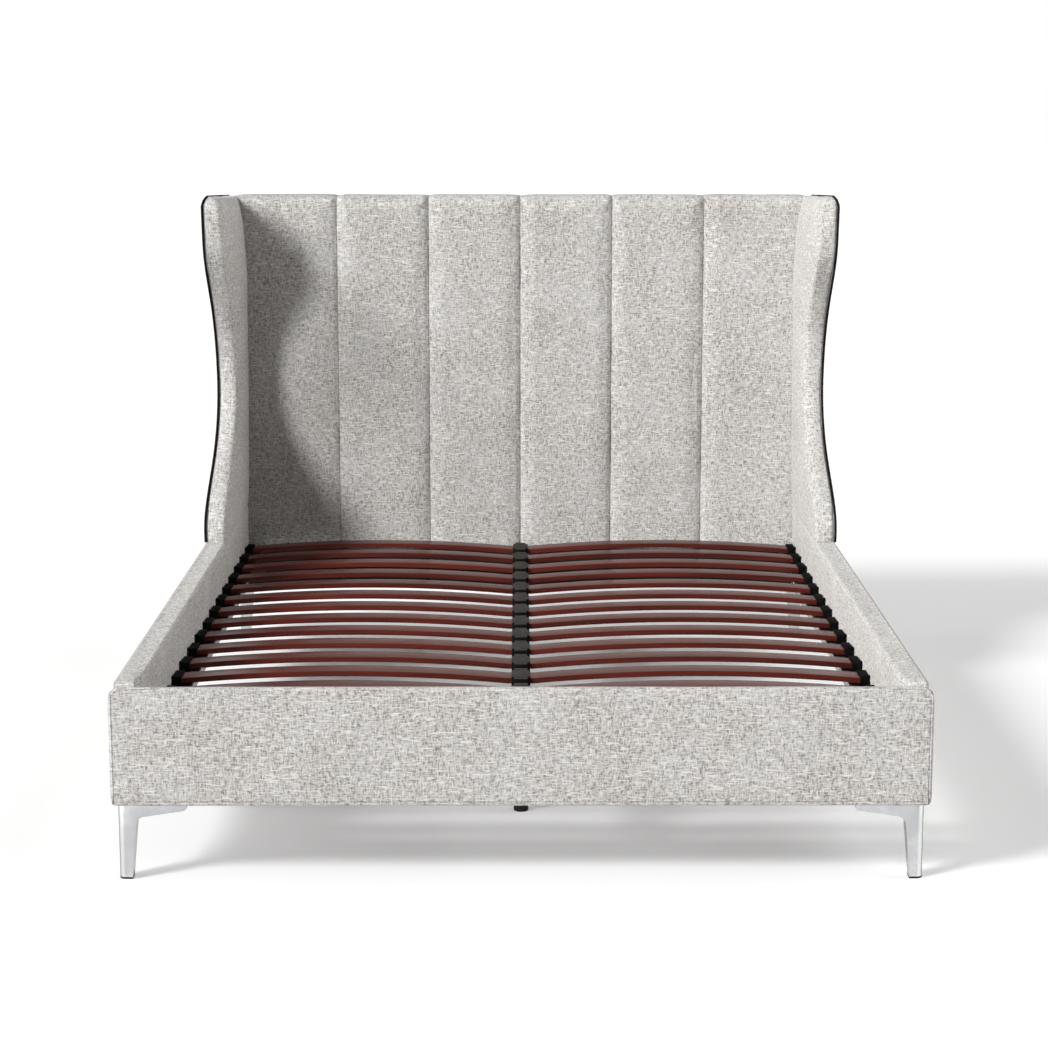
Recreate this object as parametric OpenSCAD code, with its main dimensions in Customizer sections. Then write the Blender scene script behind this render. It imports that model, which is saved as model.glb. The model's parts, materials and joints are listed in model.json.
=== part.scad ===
// Upholstered wingback bed with sprung slats and polished corner legs.
// The foot of the bed is towards -Y and the head towards +Y. The floor is at Z = 0.
// Left and right are seen from the foot: left is -X and right is +X.

/* [Mattress space] */
// Width between the upholstered side rails
inner_w = 1515; // [1300:5:1900]
// Length from the foot rail to the face of the headboard
inner_l = 2030; // [1950:5:2150]

/* [Rails] */
// Height of the rails' underside above the floor
rail_z = 152; // [120:1:220]
// Height of the side rails and the foot rail
rail_h = 240; // [225:1:300]
// Thickness of an upholstered rail
rail_t = 42.5; // [40:0.5:60]
// Thickness of the timber board inside a rail
rail_board_t = 22; // [18:1:25]
// Padding between that board and the rail's inner face
rail_pad_in = 8; // [5:0.5:10]
// Padding over the top edge of the board
rail_pad_top = 10; // [5:1:20]
// Fabric hem under the board
rail_hem = 3; // [1:0.5:6]
// Rounding of the rails' long edges
rail_edge_r = 8; // [3:0.5:12]
// How far each end of the foot rail stands out past the side rail
foot_overhang = 5.5; // [3:0.5:10]
// Rounding of the foot rail's upper corners, seen from the foot
foot_top_r = 23; // [12:1:35]
// Rounding of the foot rail's lower corners
foot_low_r = 11; // [5:1:20]
// Radius of the self-fabric welt at each end of the foot rail
welt_r = 3; // [2:0.5:4]
// Length of the welt's run along the top edge
welt_top_run = 60; // [20:5:150]
// How far the welt stands out from the foot rail's face
welt_proud = 1; // [0.5:0.25:2]

/* [Headboard] */
// Height of the headboard above the rails' top
head_h = 844; // [700:1:1000]
// Thickness of the whole headboard
head_t = 130; // [115:1:160]
// Thickness of a padded channel at its crown
channel_t = 50; // [35:1:60]
// Number of padded channels
channel_count = 6; // [6:1:6]
// How deep the sewn edges of a channel are drawn in
channel_draw = 11; // [5:1:18]
// Padding that each channel carries over the top
channel_top_t = 14; // [8:1:25]
// Rounding of the headboard's top front edge
head_round = 20; // [10:1:28]
// Rounding of a channel's upper corners, seen from the foot
channel_corner_r = 7; // [3:1:12]
// Thickness of the headboard's plywood board
head_board_t = 15; // [9:1:20]
// Thickness of the upholstered back panel
back_panel_t = 5; // [3:0.5:8]
// Width of the bars in the headboard's timber frame
frame_bar_w = 45; // [38:1:60]

/* [Wings] */
// Depth of a wing where it stands on the rail, in front of the headboard's face
wing_foot_d = 587; // [500:1:650]
// Depth of a wing at its waist
wing_waist_d = 187; // [140:1:240]
// Depth of a wing at its upper bulge
wing_peak_d = 363; // [280:1:420]
// Height of the waist above the rails' top
wing_waist_h = 388; // [350:1:420]
// Distance from the wing's top down to its upper bulge
wing_peak_drop = 110; // [70:1:150]
// How much the wing's top front stands above the headboard
wing_rise = 14; // [5:1:20]
// Rounding of the wing's top front corner
wing_top_r = 30; // [15:1:45]
// Outward lean of the wings, in degrees
wing_lean = 1.15; // [0.5:0.05:1.5]
// How far the wing's inner padding reaches in past the rail's inner face
wing_reach = 7; // [3:0.5:7]
// Rounding of the wing's inner front edge
wing_edge_r = 17; // [8:1:20]
// How far the wing's inner face rolls outwards at the top
wing_roll = 22; // [10:1:26]
// Height over which it rolls
wing_roll_h = 70; // [40:1:90]
// Thickness of the wing's plywood core
wing_core_t = 18; // [12:1:18]
// Thickness of the wing's outer panel
wing_panel_t = 4; // [3:0.5:6]
// Padding in front of the core
wing_edge_pad = 14; // [11:1:20]
// Radius of the black piping
piping_r = 4; // [3:0.5:5]

/* [Slats] */
// Number of slat rows
slat_rows = 15; // [8:1:15]
// Distance from the headboard's face to the middle of the first row
slat_first = 78; // [60:1:95]
// Distance from the foot rail to the middle of the last row
slat_last = 111; // [95:1:140]
// Width of a slat
slat_w = 53; // [38:1:63]
// Thickness of a slat
slat_t = 12; // [8:0.5:14]
// Rise of a slat's bow in its middle
slat_rise = 16; // [8:1:25]

/* [Slat holders] */
// Height of the floor of a slat pocket above the steel
pocket_floor = 5; // [3:0.5:8]
// Thickness of a holder's roof and end walls
holder_wall = 3.5; // [2:0.5:5]
// How deep a slat sits in its outer cap
cap_grip = 15; // [10:1:18]
// How deep a slat sits in the middle holder
middle_grip = 20; // [12:1:22]
// Width of the web between the two pockets of a middle holder
middle_web = 16; // [10:1:30]
// Width of the long roof strip of a middle holder
middle_strip_w = 40; // [30:1:46]
// Length of that roof strip
middle_strip_l = 98; // [80:1:110]
// Radius of the plug under each holder
plug_r = 4; // [3:0.5:5]
// Height of the loop on each outer cap
loop_h = 22; // [16:1:24]
// Width of that loop
loop_w = 6; // [5:0.5:8]

/* [Steel] */
// Distance from the rails' top down to the steel ledge
ledge_drop = 130; // [100:1:150]
// Width and height of the steel ledge
ledge_w = 45; // [38:1:50]
// Thickness of the ledge, the hangers and the brackets
plate_t = 3; // [2:0.5:4]
// Width and height of the centre beam
beam_w = 40; // [35:1:45]
// Wall of the centre beam
beam_wall = 2; // [1.5:0.5:4]
// Length of a beam hanger's cup
hanger_l = 30; // [20:1:40]
// Width of a beam hanger's screw plate
hanger_w = 100; // [80:1:140]
// Leg of a corner bracket
bracket_w = 48; // [40:1:60]
// Height of a corner bracket
bracket_h = 46; // [40:1:50]

/* [Corner legs] */
// Width of a corner leg at its top
leg_top_w = 36; // [30:1:38]
// Width of a corner leg at the floor
leg_foot_w = 27; // [22:1:30]
// Length of a leg's arm from the leg's outer face
leg_arm_l = 136; // [110:1:160]
// Thickness of the arm at its end
leg_arm_t = 13.5; // [12:0.5:18]
// Thickness of the arm beside the column
leg_arm_root_t = 24.5; // [20:0.5:30]
// Height of the fillet between arm and column
leg_fillet = 16; // [8:1:20]
// Rounding of the leg's outer corner
leg_corner_r = 13; // [6:1:16]
// Distance from the bed's side to the leg's outer face
leg_inset_x = 6.5; // [4:0.5:7]
// Distance from the foot rail's front, or the back, to the leg's face
leg_inset_y = 10; // [5:0.5:12]
// Height of the black pad under a corner leg
leg_pad_h = 4; // [3:0.5:6]

/* [Centre legs] */
// Distance from the foot rail's front to the first centre leg
centre_leg_first = 468; // [350:1:600]
// Distance between the two centre legs
centre_leg_gap = 1100; // [900:1:1300]
// Radius of a centre leg's tube
centre_leg_r = 15; // [13:0.5:18]
// Wall of that tube
centre_leg_wall = 2; // [1:0.5:3]
// Length of the threaded insert in the tube's end
insert_l = 20; // [15:1:30]
// Radius of the levelling stem
stem_r = 5; // [4:0.5:6]
// Length of the levelling stem
stem_l = 86; // [70:1:100]
// Radius of the round glide pad
glide_r = 16; // [14:0.5:25]
// Height of the glide pad
glide_h = 13; // [10:0.5:16]
// Room between the stem's hexagon and the tube, for screwing the stem in
level_travel = 14; // [12:1:20]

/* [Bolts and fits] */
// Radius of a bolt's shank
bolt_r = 4; // [3:0.5:5]
// Radius of a bolt's head
bolt_head_r = 7.5; // [6:0.5:8]
// Height of a bolt's head
bolt_head_h = 5; // [3:0.5:6]
// How far a bolt goes into the timber
bolt_grip = 15; // [10:1:17]
// Gap round a piece that sits in a pocket or a clearance hole
fit_gap = 0.3; // [0.2:0.05:0.5]
// Radial play of the levelling stem in its bores
thread_play = 0.05; // [0.02:0.01:0.1]
// Seam between two padded pieces
seam_gap = 0.4; // [0.2:0.1:0.8]
// Seam between the outer channels and the wings
wing_seam = 0.5; // [0.3:0.1:1]

/* [Hidden] */
fabric = [0.79, 0.78, 0.76];
fabric_back = [0.70, 0.69, 0.67];
black = [0.09, 0.09, 0.09];
steel = [0.16, 0.16, 0.17];
timber = [0.80, 0.66, 0.46];
plywood = [0.76, 0.62, 0.44];
slat_colour = [0.33, 0.13, 0.10];
polished = [0.80, 0.81, 0.83];
zinc = [0.62, 0.63, 0.64];

corner_steps = 5;
sweep_steps = 9;
slat_steps = 16;
round_fn = 48;

rail_top = rail_z + rail_h;
x_in = inner_w / 2;
x_out = x_in + rail_t;
y_foot = -(rail_t + inner_l + head_t - welt_proud) / 2;
y_in = y_foot + rail_t;
y_head = y_in + inner_l;
y_back = y_head + head_t;
head_top = rail_top + head_h;

board_x = x_in + rail_pad_in;
board_top = rail_top - rail_pad_top;
board_low = rail_z + rail_hem;
foot_half = x_out + foot_overhang;
foot_board_y = y_in - rail_pad_in - rail_board_t;
foot_board_half = x_out - rail_pad_in;

head_board_y = y_head + channel_t;
frame_y = head_board_y + head_board_t;
panel_y = y_back - back_panel_t;
frame_d = panel_y - frame_y;
frame_top = head_top - channel_top_t;
glue_line = 0.2;
channel_half = x_in - wing_reach - wing_seam;
channel_w = 2 * channel_half / channel_count;

wing_t = rail_t;
wing_top_h = head_h + wing_rise;
wing_peak_h = wing_top_h - wing_peak_drop;
wing_top_drop = wing_rise - 1;
wing_base_h = 8;
foot_pull = 0.24;
waist_pull_below = 0.61;
waist_pull_above = 0.55;
peak_pull = 0.31;
edge_ease = 2;
face_swell = 0.45;
reach_start = 25;
panel_margin = piping_r + 2;
piping_inset = 1;
piping_sink = 2.5;

ledge_top = rail_top - ledge_drop;
beam_low = ledge_top - beam_w;
slat_pitch = (inner_l - slat_first - slat_last) / (slat_rows - 1);
slat_z = ledge_top + pocket_floor + fit_gap;
holder_top = slat_z + slat_t + fit_gap + holder_wall;
holder_l = slat_w + 2 * fit_gap + 2 * holder_wall;
loop_x = x_in - fit_gap - loop_w;
cap_out = loop_x + 1;
slat_out = cap_out - holder_wall - fit_gap;
cap_mouth = slat_out - cap_grip;
slat_in = middle_web / 2 + fit_gap;
middle_mouth = slat_in + middle_grip;
cap_plug_x = (cap_mouth + cap_out) / 2;
plug_l = plate_t + 3;
loop_rim = 1.7;

leg_x = x_out - leg_inset_x;
leg_bolt_end = 32;
leg_bolt_u = leg_arm_l - leg_bolt_end;
leg_web_t = 6;
bolt_hole_r = bolt_r + fit_gap;
bracket_drop = 3;
bracket_z = ledge_top - ledge_w - bracket_h - bracket_drop;
bracket_bolt_end = 18;
bracket_bolt_in = bracket_w - bracket_bolt_end;
bracket_bolt_step = 10;

hex_h = 5;
hex_r = 8.5;
hex_z = glide_h + fit_gap;
socket_floor = 4;
tube_low = hex_z + hex_h + level_travel;
stem_z = socket_floor + fit_gap;

ROWS = [for (i = [1:slat_rows]) str("slat_row_", i < 10 ? "0" : "", i)];
CHANNELS = [for (i = [1:channel_count]) str("headboard_channel_", i)];

// Extrusions: an outline in X and Z drawn out along +Y, and one in Y and Z drawn out along +X
module along_y(length) {
    translate([0, length, 0])
        rotate([90, 0, 0])
            linear_extrude(length)
                children();
}

module along_x(length) {
    rotate([90, 0, 90])
        linear_extrude(length)
            children();
}

module both_sides_x() {
    children();
    mirror([1, 0, 0]) children();
}

module on_side(side) {
    mirror([side < 0 ? 1 : 0, 0, 0]) children();
}

// A quarter round of an outline, from the angle a on
function quarter(cx, cy, r, a) =
    [for (i = [0:corner_steps]) [cx + r * cos(a + 90 * i / corner_steps), cy + r * sin(a + 90 * i / corner_steps)]];

// Outline of a rectangle with its own radius at the lower and the upper corners
function rounded(x0, y0, x1, y1, r_low, r_top) =
    concat(
        quarter(x0 + r_low, y0 + r_low, r_low, 180),
        quarter(x1 - r_low, y0 + r_low, r_low, 270),
        quarter(x1 - r_top, y1 - r_top, r_top, 0),
        quarter(x0 + r_top, y1 - r_top, r_top, 90));

function bezier(p, u) =
    pow(1 - u, 3) * p[0] + 3 * pow(1 - u, 2) * u * p[1] + 3 * (1 - u) * u * u * p[2] + pow(u, 3) * p[3];

// A closed solid through rings of equal length, each capped from the middle of its end ring
module loft(rings) {
    n = len(rings[0]);
    m = len(rings);
    function middle(ring) = [for (k = [0:2]) [for (p = ring) 1] * [for (p = ring) p[k]] / n];
    points = concat([for (ring = rings) for (p = ring) p], [middle(rings[0]), middle(rings[m - 1])]);
    first = n * m;
    faces = concat(
        [for (j = [0:m - 2]) for (i = [0:n - 1])
            [j * n + i, j * n + (i + 1) % n, (j + 1) * n + i]],
        [for (j = [0:m - 2]) for (i = [0:n - 1])
            [(j + 1) * n + i, j * n + (i + 1) % n, (j + 1) * n + (i + 1) % n]],
        [for (i = [0:n - 1]) [first, (i + 1) % n, i]],
        [for (i = [0:n - 1]) [first + 1, (m - 1) * n + i, (m - 1) * n + (i + 1) % n]]);
    polyhedron(points, faces);
}

// Headboard

module headboard_board() {
    color(plywood)
        difference() {
            translate([-x_in + fit_gap, head_board_y, rail_z])
                cube([2 * (x_in - fit_gap), head_board_t, frame_top - rail_z]);
            both_sides_x() head_bracket_hole();
        }
}

module frame_bar(x0, x1, z0, z1) {
    translate([x0, frame_y, z0]) cube([x1 - x0, frame_d, z1 - z0]);
}

// Top and bottom bars with four uprights between them, glued
module headboard_frame() {
    half = x_in - fit_gap;
    low = rail_z + frame_bar_w;
    high = frame_top - frame_bar_w;
    inner = channel_w;
    color(timber)
        difference() {
            union() {
                frame_bar(-half, half, rail_z, low);
                frame_bar(-half, half, high, frame_top);
                both_sides_x() {
                    frame_bar(half - frame_bar_w, half, low + glue_line, high - glue_line);
                    frame_bar(inner - frame_bar_w / 2, inner + frame_bar_w / 2, low + glue_line, high - glue_line);
                }
            }
            both_sides_x() leg_bolt_hole_x(y_back - leg_inset_y - leg_top_w / 2);
        }
}

module headboard_back_panel() {
    color(fabric_back)
        translate([-x_in + fit_gap, panel_y, rail_z])
            cube([2 * (x_in - fit_gap), back_panel_t, frame_top - rail_z]);
}

// Section of a channel seen from above: flat crown, edges drawn in to the seams
function channel_section(half) =
    concat(
        [[-half, channel_t], [-half, channel_draw]],
        [for (i = [1:15]) let (s = cos(180 - 11.25 * i)) [half * s, channel_draw * (1 - pow(1 - pow(abs(s), 6), 1 / 3))]],
        [[half, channel_draw], [half, channel_t]]);

// Side outline of a channel: up the face, round the top and back over the frame
channel_outline = concat(
    [[channel_t, rail_z], [0, rail_z]],
    [for (i = [0:corner_steps]) let (a = 90 * i / corner_steps)
        [head_round * (1 - cos(a)), head_top - head_round * (1 - sin(a))]],
    [for (i = [0:corner_steps]) let (a = 90 * i / corner_steps, r = channel_top_t * 0.6)
        [head_t - r * (1 - sin(a)), head_top - r * (1 - cos(a))]],
    [[head_t, frame_top], [channel_t, frame_top]]);

module channel(i) {
    half = channel_w / 2 - seam_gap / 2;
    middle = (i - (channel_count - 1) / 2) * channel_w;
    color(fabric)
        difference() {
            translate([middle, y_head, 0])
                intersection() {
                    translate([-half, 0, 0])
                        along_x(2 * half)
                            polygon(channel_outline);
                    along_y(head_t)
                        polygon(rounded(-half, rail_z, half, head_top, 1, channel_corner_r));
                    translate([0, 0, rail_z - 1])
                        linear_extrude(head_top - rail_z + 2)
                            polygon(concat(
                                [for (p = channel_section(half)) if (p[1] < channel_t) p],
                                [[half, head_t + 1], [-half, head_t + 1]]));
                }
            both_sides_x() head_bracket_hole();
        }
}

// Wings

// Curve points between two heights, where each end pulls the curve along by its share of the way
function pulled(low, high, low_pull, high_pull) =
    [low, low + (high - low) * low_pull, high - (high - low) * high_pull, high];

// Front edge of a wing as depth in front of the headboard and height above the rail
wing_edge = concat(
    [[wing_foot_d, 0]],
    [for (i = [0:sweep_steps]) let (u = i / sweep_steps) [
        bezier([wing_foot_d, wing_foot_d, wing_waist_d, wing_waist_d], u),
        bezier(pulled(wing_base_h, wing_waist_h, foot_pull, waist_pull_below), u)]],
    [for (i = [1:sweep_steps]) let (u = i / sweep_steps) [
        bezier([wing_waist_d, wing_waist_d, wing_peak_d, wing_peak_d], u),
        bezier(pulled(wing_waist_h, wing_peak_h, waist_pull_above, peak_pull), u)]],
    quarter(wing_peak_d - wing_top_r, wing_top_h - wing_top_r, wing_top_r, 0));

// Height lost towards the back, so that the wing's top slopes a little down to the headboard
function wing_drop(d, h) =
    wing_top_drop * pow(h / wing_top_h, 4) * (wing_peak_d - d) / (wing_peak_d + head_t);

// The same edge with its slope, carried on to the back of the headboard
wing_line = [for (p = concat(wing_edge, [[-head_t, wing_top_h]])) p - [0, wing_drop(p[0], p[1])]];
wing_last = len(wing_line) - 1;

// That line moved inwards by a margin, square to itself
function wing_inset(margin) =
    [for (i = [0:wing_last])
        let (
            step = wing_line[min(wing_last, i + 1)] - wing_line[max(0, i - 1)],
            along = i == 0 ? [0, 1] : i == wing_last ? [-1, 0] : step / norm(step))
        wing_line[i] + margin * [-along[1], along[0]]];

function wing_rolled(h) =
    let (t = max(0, 1 - (wing_top_h - h) / wing_roll_h))
    wing_roll * (1 - sqrt(1 - min(1, t * t)));

// One level of the padded wing: outer face, front, rounded inner edge and inner face
function wing_ring(d, h) =
    let (
        roll = wing_rolled(h),
        face = wing_t - roll,
        behind = wing_t + tan(wing_lean) * h - roll,
        beside = behind + wing_reach,
        r = min(wing_edge_r, face - 2 * edge_ease),
        outline = concat(
            [[0, -head_t], [0, d - edge_ease], [edge_ease, d]],
            [for (i = [0:4]) [face - r * (1 - sin(22.5 * i)), d - r * (1 - cos(22.5 * i))]],
            [[face + (beside - face) * face_swell + edge_ease, d / 2], [beside, reach_start]],
            [[beside, fit_gap - channel_t], [behind, fit_gap - channel_t], [behind, -head_t]]))
    [for (p = outline) [x_out - p[0], y_head - p[1], rail_top + h - wing_drop(p[1], h)]];

// A plate of the wing's outline drawn in by a margin, with its own back edge, run past the bottom
module wing_plate(margin, back, from, thickness, past) {
    line = wing_inset(margin);
    outline = concat(
        [[back, -past], [wing_foot_d - margin, -past]],
        [for (i = [0:wing_last - 1]) line[i]],
        [[back, line[wing_last][1]]]);
    translate([x_out - from - thickness, 0, 0])
        along_x(thickness)
            polygon([for (p = outline) [y_head - p[0], rail_top + p[1]]]);
}

module leaning() {
    translate([x_out, 0, rail_top])
        rotate([0, wing_lean, 0])
            translate([-x_out, 0, -rail_top])
                children();
}

module wing_core_shape() {
    wing_plate(wing_edge_pad, back_panel_t - head_t, wing_panel_t, wing_core_t, 0);
}

module wing_panel_shape() {
    wing_plate(panel_margin, -head_t, 0, wing_panel_t, 0);
}

// The room that the core and the panel take up in the padding, open to the outside
module wing_pocket() {
    past = 5;
    wing_plate(wing_edge_pad, back_panel_t - head_t, -past, past + wing_panel_t + wing_core_t, past);
    wing_plate(panel_margin, -head_t - past, -past, past + wing_panel_t, past);
}

// The piping follows the front edge, turns over the corner and runs back along the top.
// It has no ring at the waist, where one would lie level with the pad's own ring.
module piping_shape() {
    sides = 8;
    waist = sweep_steps + 1;
    line = wing_inset(piping_inset);
    rings = [for (i = [0:wing_last]) if (i != waist)
        let (
            step = line[min(wing_last, i + 1)] - line[max(0, i - 1)],
            along = i == 0 ? [0, 1] : i == wing_last ? [-1, 0] : step / norm(step),
            p = line[i])
        [for (k = [0:sides - 1])
            let (c = piping_r * cos(360 * (k + 0.5) / sides), s = piping_r * sin(360 * (k + 0.5) / sides))
            [x_out - piping_sink - s, y_head - p[0] - c * along[1], rail_top + p[1] - c * along[0]]]];
    loft(rings);
}

module wing_core(side) {
    color(plywood)
        on_side(side)
            leaning() wing_core_shape();
}

module wing_panel(side) {
    color(fabric)
        on_side(side)
            leaning() wing_panel_shape();
}

module wing_pad(side) {
    color(fabric)
        on_side(side)
            leaning()
                difference() {
                    loft([for (e = wing_edge) wing_ring(e[0], e[1])]);
                    wing_pocket();
                    piping_shape();
                }
}

module wing_piping(side) {
    color(black)
        on_side(side)
            leaning() piping_shape();
}

// Side rails

module side_rail_board(side) {
    color(timber)
        on_side(side)
            difference() {
                translate([board_x, y_in, board_low])
                    cube([rail_board_t, y_back - rail_hem - y_in, board_top - board_low]);
                side_rail_holes();
            }
}

module side_rail_cover(side) {
    color(fabric)
        on_side(side)
            difference() {
                translate([0, y_in, 0])
                    along_y(y_back - y_in)
                        polygon(rounded(x_in, rail_z, x_out, rail_top, rail_edge_r * 0.6, rail_edge_r));
                translate([board_x, y_in - 1, board_low])
                    cube([rail_board_t, y_back - rail_hem - y_in + 1, board_top - board_low]);
                side_rail_holes();
            }
}

module side_rail_holes() {
    bracket_side_hole(y_in, 1);
    bracket_side_hole(y_head, -1);
    leg_bolt_hole_y(y_foot + leg_inset_y + leg_bolt_u);
    leg_bolt_hole_y(y_back - leg_inset_y - leg_bolt_u);
}

// Foot rail

module foot_rail_board() {
    color(timber)
        difference() {
            translate([-foot_board_half, foot_board_y, board_low])
                cube([2 * foot_board_half, rail_board_t, board_top - board_low]);
            foot_rail_holes();
        }
}

module foot_rail_cover() {
    color(fabric)
        difference() {
            intersection() {
                translate([0, y_foot, 0])
                    along_y(rail_t)
                        polygon(rounded(-foot_half, rail_z, foot_half, rail_top, foot_low_r, foot_top_r));
                translate([-foot_half, 0, 0])
                    along_x(2 * foot_half)
                        polygon(rounded(y_foot, rail_z, y_in, rail_top, rail_edge_r * 0.6, rail_edge_r));
            }
            translate([-foot_board_half, foot_board_y, board_low])
                cube([2 * foot_board_half, rail_board_t, board_top - board_low]);
            foot_rail_holes();
            both_sides_x() welt_shape();
        }
}

module foot_rail_holes() {
    both_sides_x() {
        translate([x_in - bracket_bolt_in, y_in, bracket_z + bracket_h / 2 - bracket_bolt_step])
            rotate([90, 0, 0])
                cylinder(r = bolt_hole_r, h = rail_pad_in + bolt_grip + 1, $fn = round_fn);
        leg_bolt_hole_x(y_foot + leg_inset_y + leg_top_w / 2);
    }
}

// A welt runs up the end of the foot rail, round its corner and a little way along the top
welt_top = rail_top - welt_r + welt_proud;

function welt_side(r) = concat(
    [[x_out - foot_top_r + r, rail_z + foot_low_r]],
    quarter(x_out - foot_top_r, welt_top - foot_top_r, r, 0),
    [[x_out - foot_top_r - welt_top_run, welt_top - foot_top_r + r]]);

function reversed(list) = [for (i = [len(list) - 1:-1:0]) list[i]];

module welt_shape() {
    translate([0, y_foot - welt_proud, 0])
        along_y(welt_r + welt_proud)
            polygon(concat(welt_side(foot_top_r + welt_r), reversed(welt_side(foot_top_r - welt_r))));
}

module foot_rail_welt(side) {
    color(fabric_back) on_side(side) welt_shape();
}

// Steel ledges, centre beam and hangers

module slat_ledge(side) {
    y0 = y_in + bracket_w / 4;
    y1 = y_head - bracket_w / 4;
    color(steel)
        on_side(side)
            difference() {
                translate([0, y0, 0])
                    along_y(y1 - y0)
                        polygon([
                            [x_in, ledge_top - ledge_w], [x_in, ledge_top], [x_in - ledge_w, ledge_top],
                            [x_in - ledge_w, ledge_top - plate_t], [x_in - plate_t, ledge_top - plate_t],
                            [x_in - plate_t, ledge_top - ledge_w]]);
                for (i = [0:slat_rows - 1])
                    translate([cap_plug_x, row_y(i), ledge_top - plate_t - 1])
                        cylinder(r = plug_r + fit_gap, h = plate_t + 2, $fn = round_fn);
            }
}

function row_y(i) = y_head - slat_first - i * slat_pitch;

module centre_beam() {
    y0 = y_in + plate_t + fit_gap;
    y1 = y_head - plate_t - fit_gap;
    color(steel)
        difference() {
            translate([-beam_w / 2, y0, beam_low])
                cube([beam_w, y1 - y0, beam_w]);
            translate([-beam_w / 2 + beam_wall, y0 - 1, beam_low + beam_wall])
                cube([beam_w - 2 * beam_wall, y1 - y0 + 2, beam_w - 2 * beam_wall]);
            for (i = [0:slat_rows - 1])
                translate([0, row_y(i), ledge_top - beam_wall - 1])
                    cylinder(r = plug_r + fit_gap, h = beam_wall + 2, $fn = round_fn);
        }
}

// A cup with a screw plate, standing on the face at y and opening along the direction given
module beam_hanger() {
    wide = beam_w + 2 * plate_t + 2 * fit_gap;
    low = beam_low - plate_t;
    translate([-hanger_w / 2, 0, low])
        cube([hanger_w, plate_t, beam_w + plate_t - fit_gap]);
    difference() {
        translate([-wide / 2, 0, low])
            cube([wide, hanger_l, beam_w * 0.75]);
        translate([-wide / 2 + plate_t, plate_t, beam_low])
            cube([wide - 2 * plate_t, hanger_l, beam_w]);
    }
}

module beam_hangers() {
    color(steel) {
        translate([0, y_in, 0]) beam_hanger();
        translate([0, y_head, 0]) mirror([0, 1, 0]) beam_hanger();
    }
}

// Corner brackets and bolts

module bracket_shape(dir) {
    translate([0, dir > 0 ? y_in : y_head, bracket_z])
        mirror([0, dir > 0 ? 0 : 1, 0])
            difference() {
                union() {
                    translate([x_in - bracket_w, 0, 0]) cube([bracket_w, plate_t, bracket_h]);
                    translate([x_in - plate_t, 0, 0]) cube([plate_t, bracket_w, bracket_h]);
                }
                translate([x_in - bracket_bolt_in, -1, bracket_h / 2 - bracket_bolt_step])
                    rotate([-90, 0, 0])
                        cylinder(r = bolt_hole_r, h = plate_t + 2, $fn = round_fn);
                translate([x_in - plate_t - 1, bracket_bolt_in, bracket_h / 2 + bracket_bolt_step])
                    rotate([0, 90, 0])
                        cylinder(r = bolt_hole_r, h = plate_t + 2, $fn = round_fn);
            }
}

module corner_brackets() {
    color(steel)
        both_sides_x() {
            bracket_shape(1);
            bracket_shape(-1);
        }
}

// Hole in the side rail for the bracket at the face y, whose leg runs along the direction given
module bracket_side_hole(y, dir) {
    translate([x_in - 1, y + dir * bracket_bolt_in, bracket_z + bracket_h / 2 + bracket_bolt_step])
        rotate([0, 90, 0])
            cylinder(r = bolt_hole_r, h = rail_pad_in + bolt_grip + 2, $fn = round_fn);
}

module head_bracket_hole() {
    translate([x_in - bracket_bolt_in, y_head - 1, bracket_z + bracket_h / 2 - bracket_bolt_step])
        rotate([-90, 0, 0])
            cylinder(r = bolt_hole_r, h = channel_t + head_board_t + 2, $fn = round_fn);
}

module leg_bolt_hole_x(y) {
    translate([leg_x - leg_bolt_u, y, rail_z - 1])
        cylinder(r = bolt_hole_r, h = rail_hem + bolt_grip + 2, $fn = round_fn);
}

module leg_bolt_hole_y(y) {
    translate([leg_x - leg_top_w / 2, y, rail_z - 1])
        cylinder(r = bolt_hole_r, h = rail_hem + bolt_grip + 2, $fn = round_fn);
}

// A bolt along +Z, with its head below the origin
module bolt(shank) {
    translate([0, 0, -bolt_head_h]) cylinder(r = bolt_head_r, h = bolt_head_h, $fn = round_fn);
    cylinder(r = bolt_r, h = shank, $fn = round_fn);
}

module frame_bolts() {
    rail_bolt = plate_t + rail_pad_in + bolt_grip;
    head_bolt = plate_t + channel_t + head_board_t;
    leg_bolt = leg_web_t + rail_hem + bolt_grip;
    side_z = bracket_z + bracket_h / 2 + bracket_bolt_step;
    end_z = bracket_z + bracket_h / 2 - bracket_bolt_step;
    color(zinc)
        both_sides_x() {
            translate([x_in - plate_t, y_in + bracket_bolt_in, side_z]) rotate([0, 90, 0]) bolt(rail_bolt);
            translate([x_in - plate_t, y_head - bracket_bolt_in, side_z]) rotate([0, 90, 0]) bolt(rail_bolt);
            translate([x_in - bracket_bolt_in, y_in + plate_t, end_z]) rotate([90, 0, 0]) bolt(rail_bolt);
            translate([x_in - bracket_bolt_in, y_head - plate_t, end_z]) rotate([-90, 0, 0]) bolt(head_bolt);
            for (end = [1, -1]) {
                y = end > 0 ? y_foot + leg_inset_y : y_back - leg_inset_y;
                translate([leg_x - leg_bolt_u, y + end * leg_top_w / 2, rail_z - leg_web_t]) bolt(leg_bolt);
                translate([leg_x - leg_top_w / 2, y + end * leg_bolt_u, rail_z - leg_web_t]) bolt(leg_bolt);
            }
        }
}

// Corner legs, drawn with the outer corner at the origin and arms along +X and +Y

leg_low = leg_pad_h;
leg_end_r = 10;
arm_low = rail_z - leg_arm_t;
root_low = rail_z - leg_arm_root_t;

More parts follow.
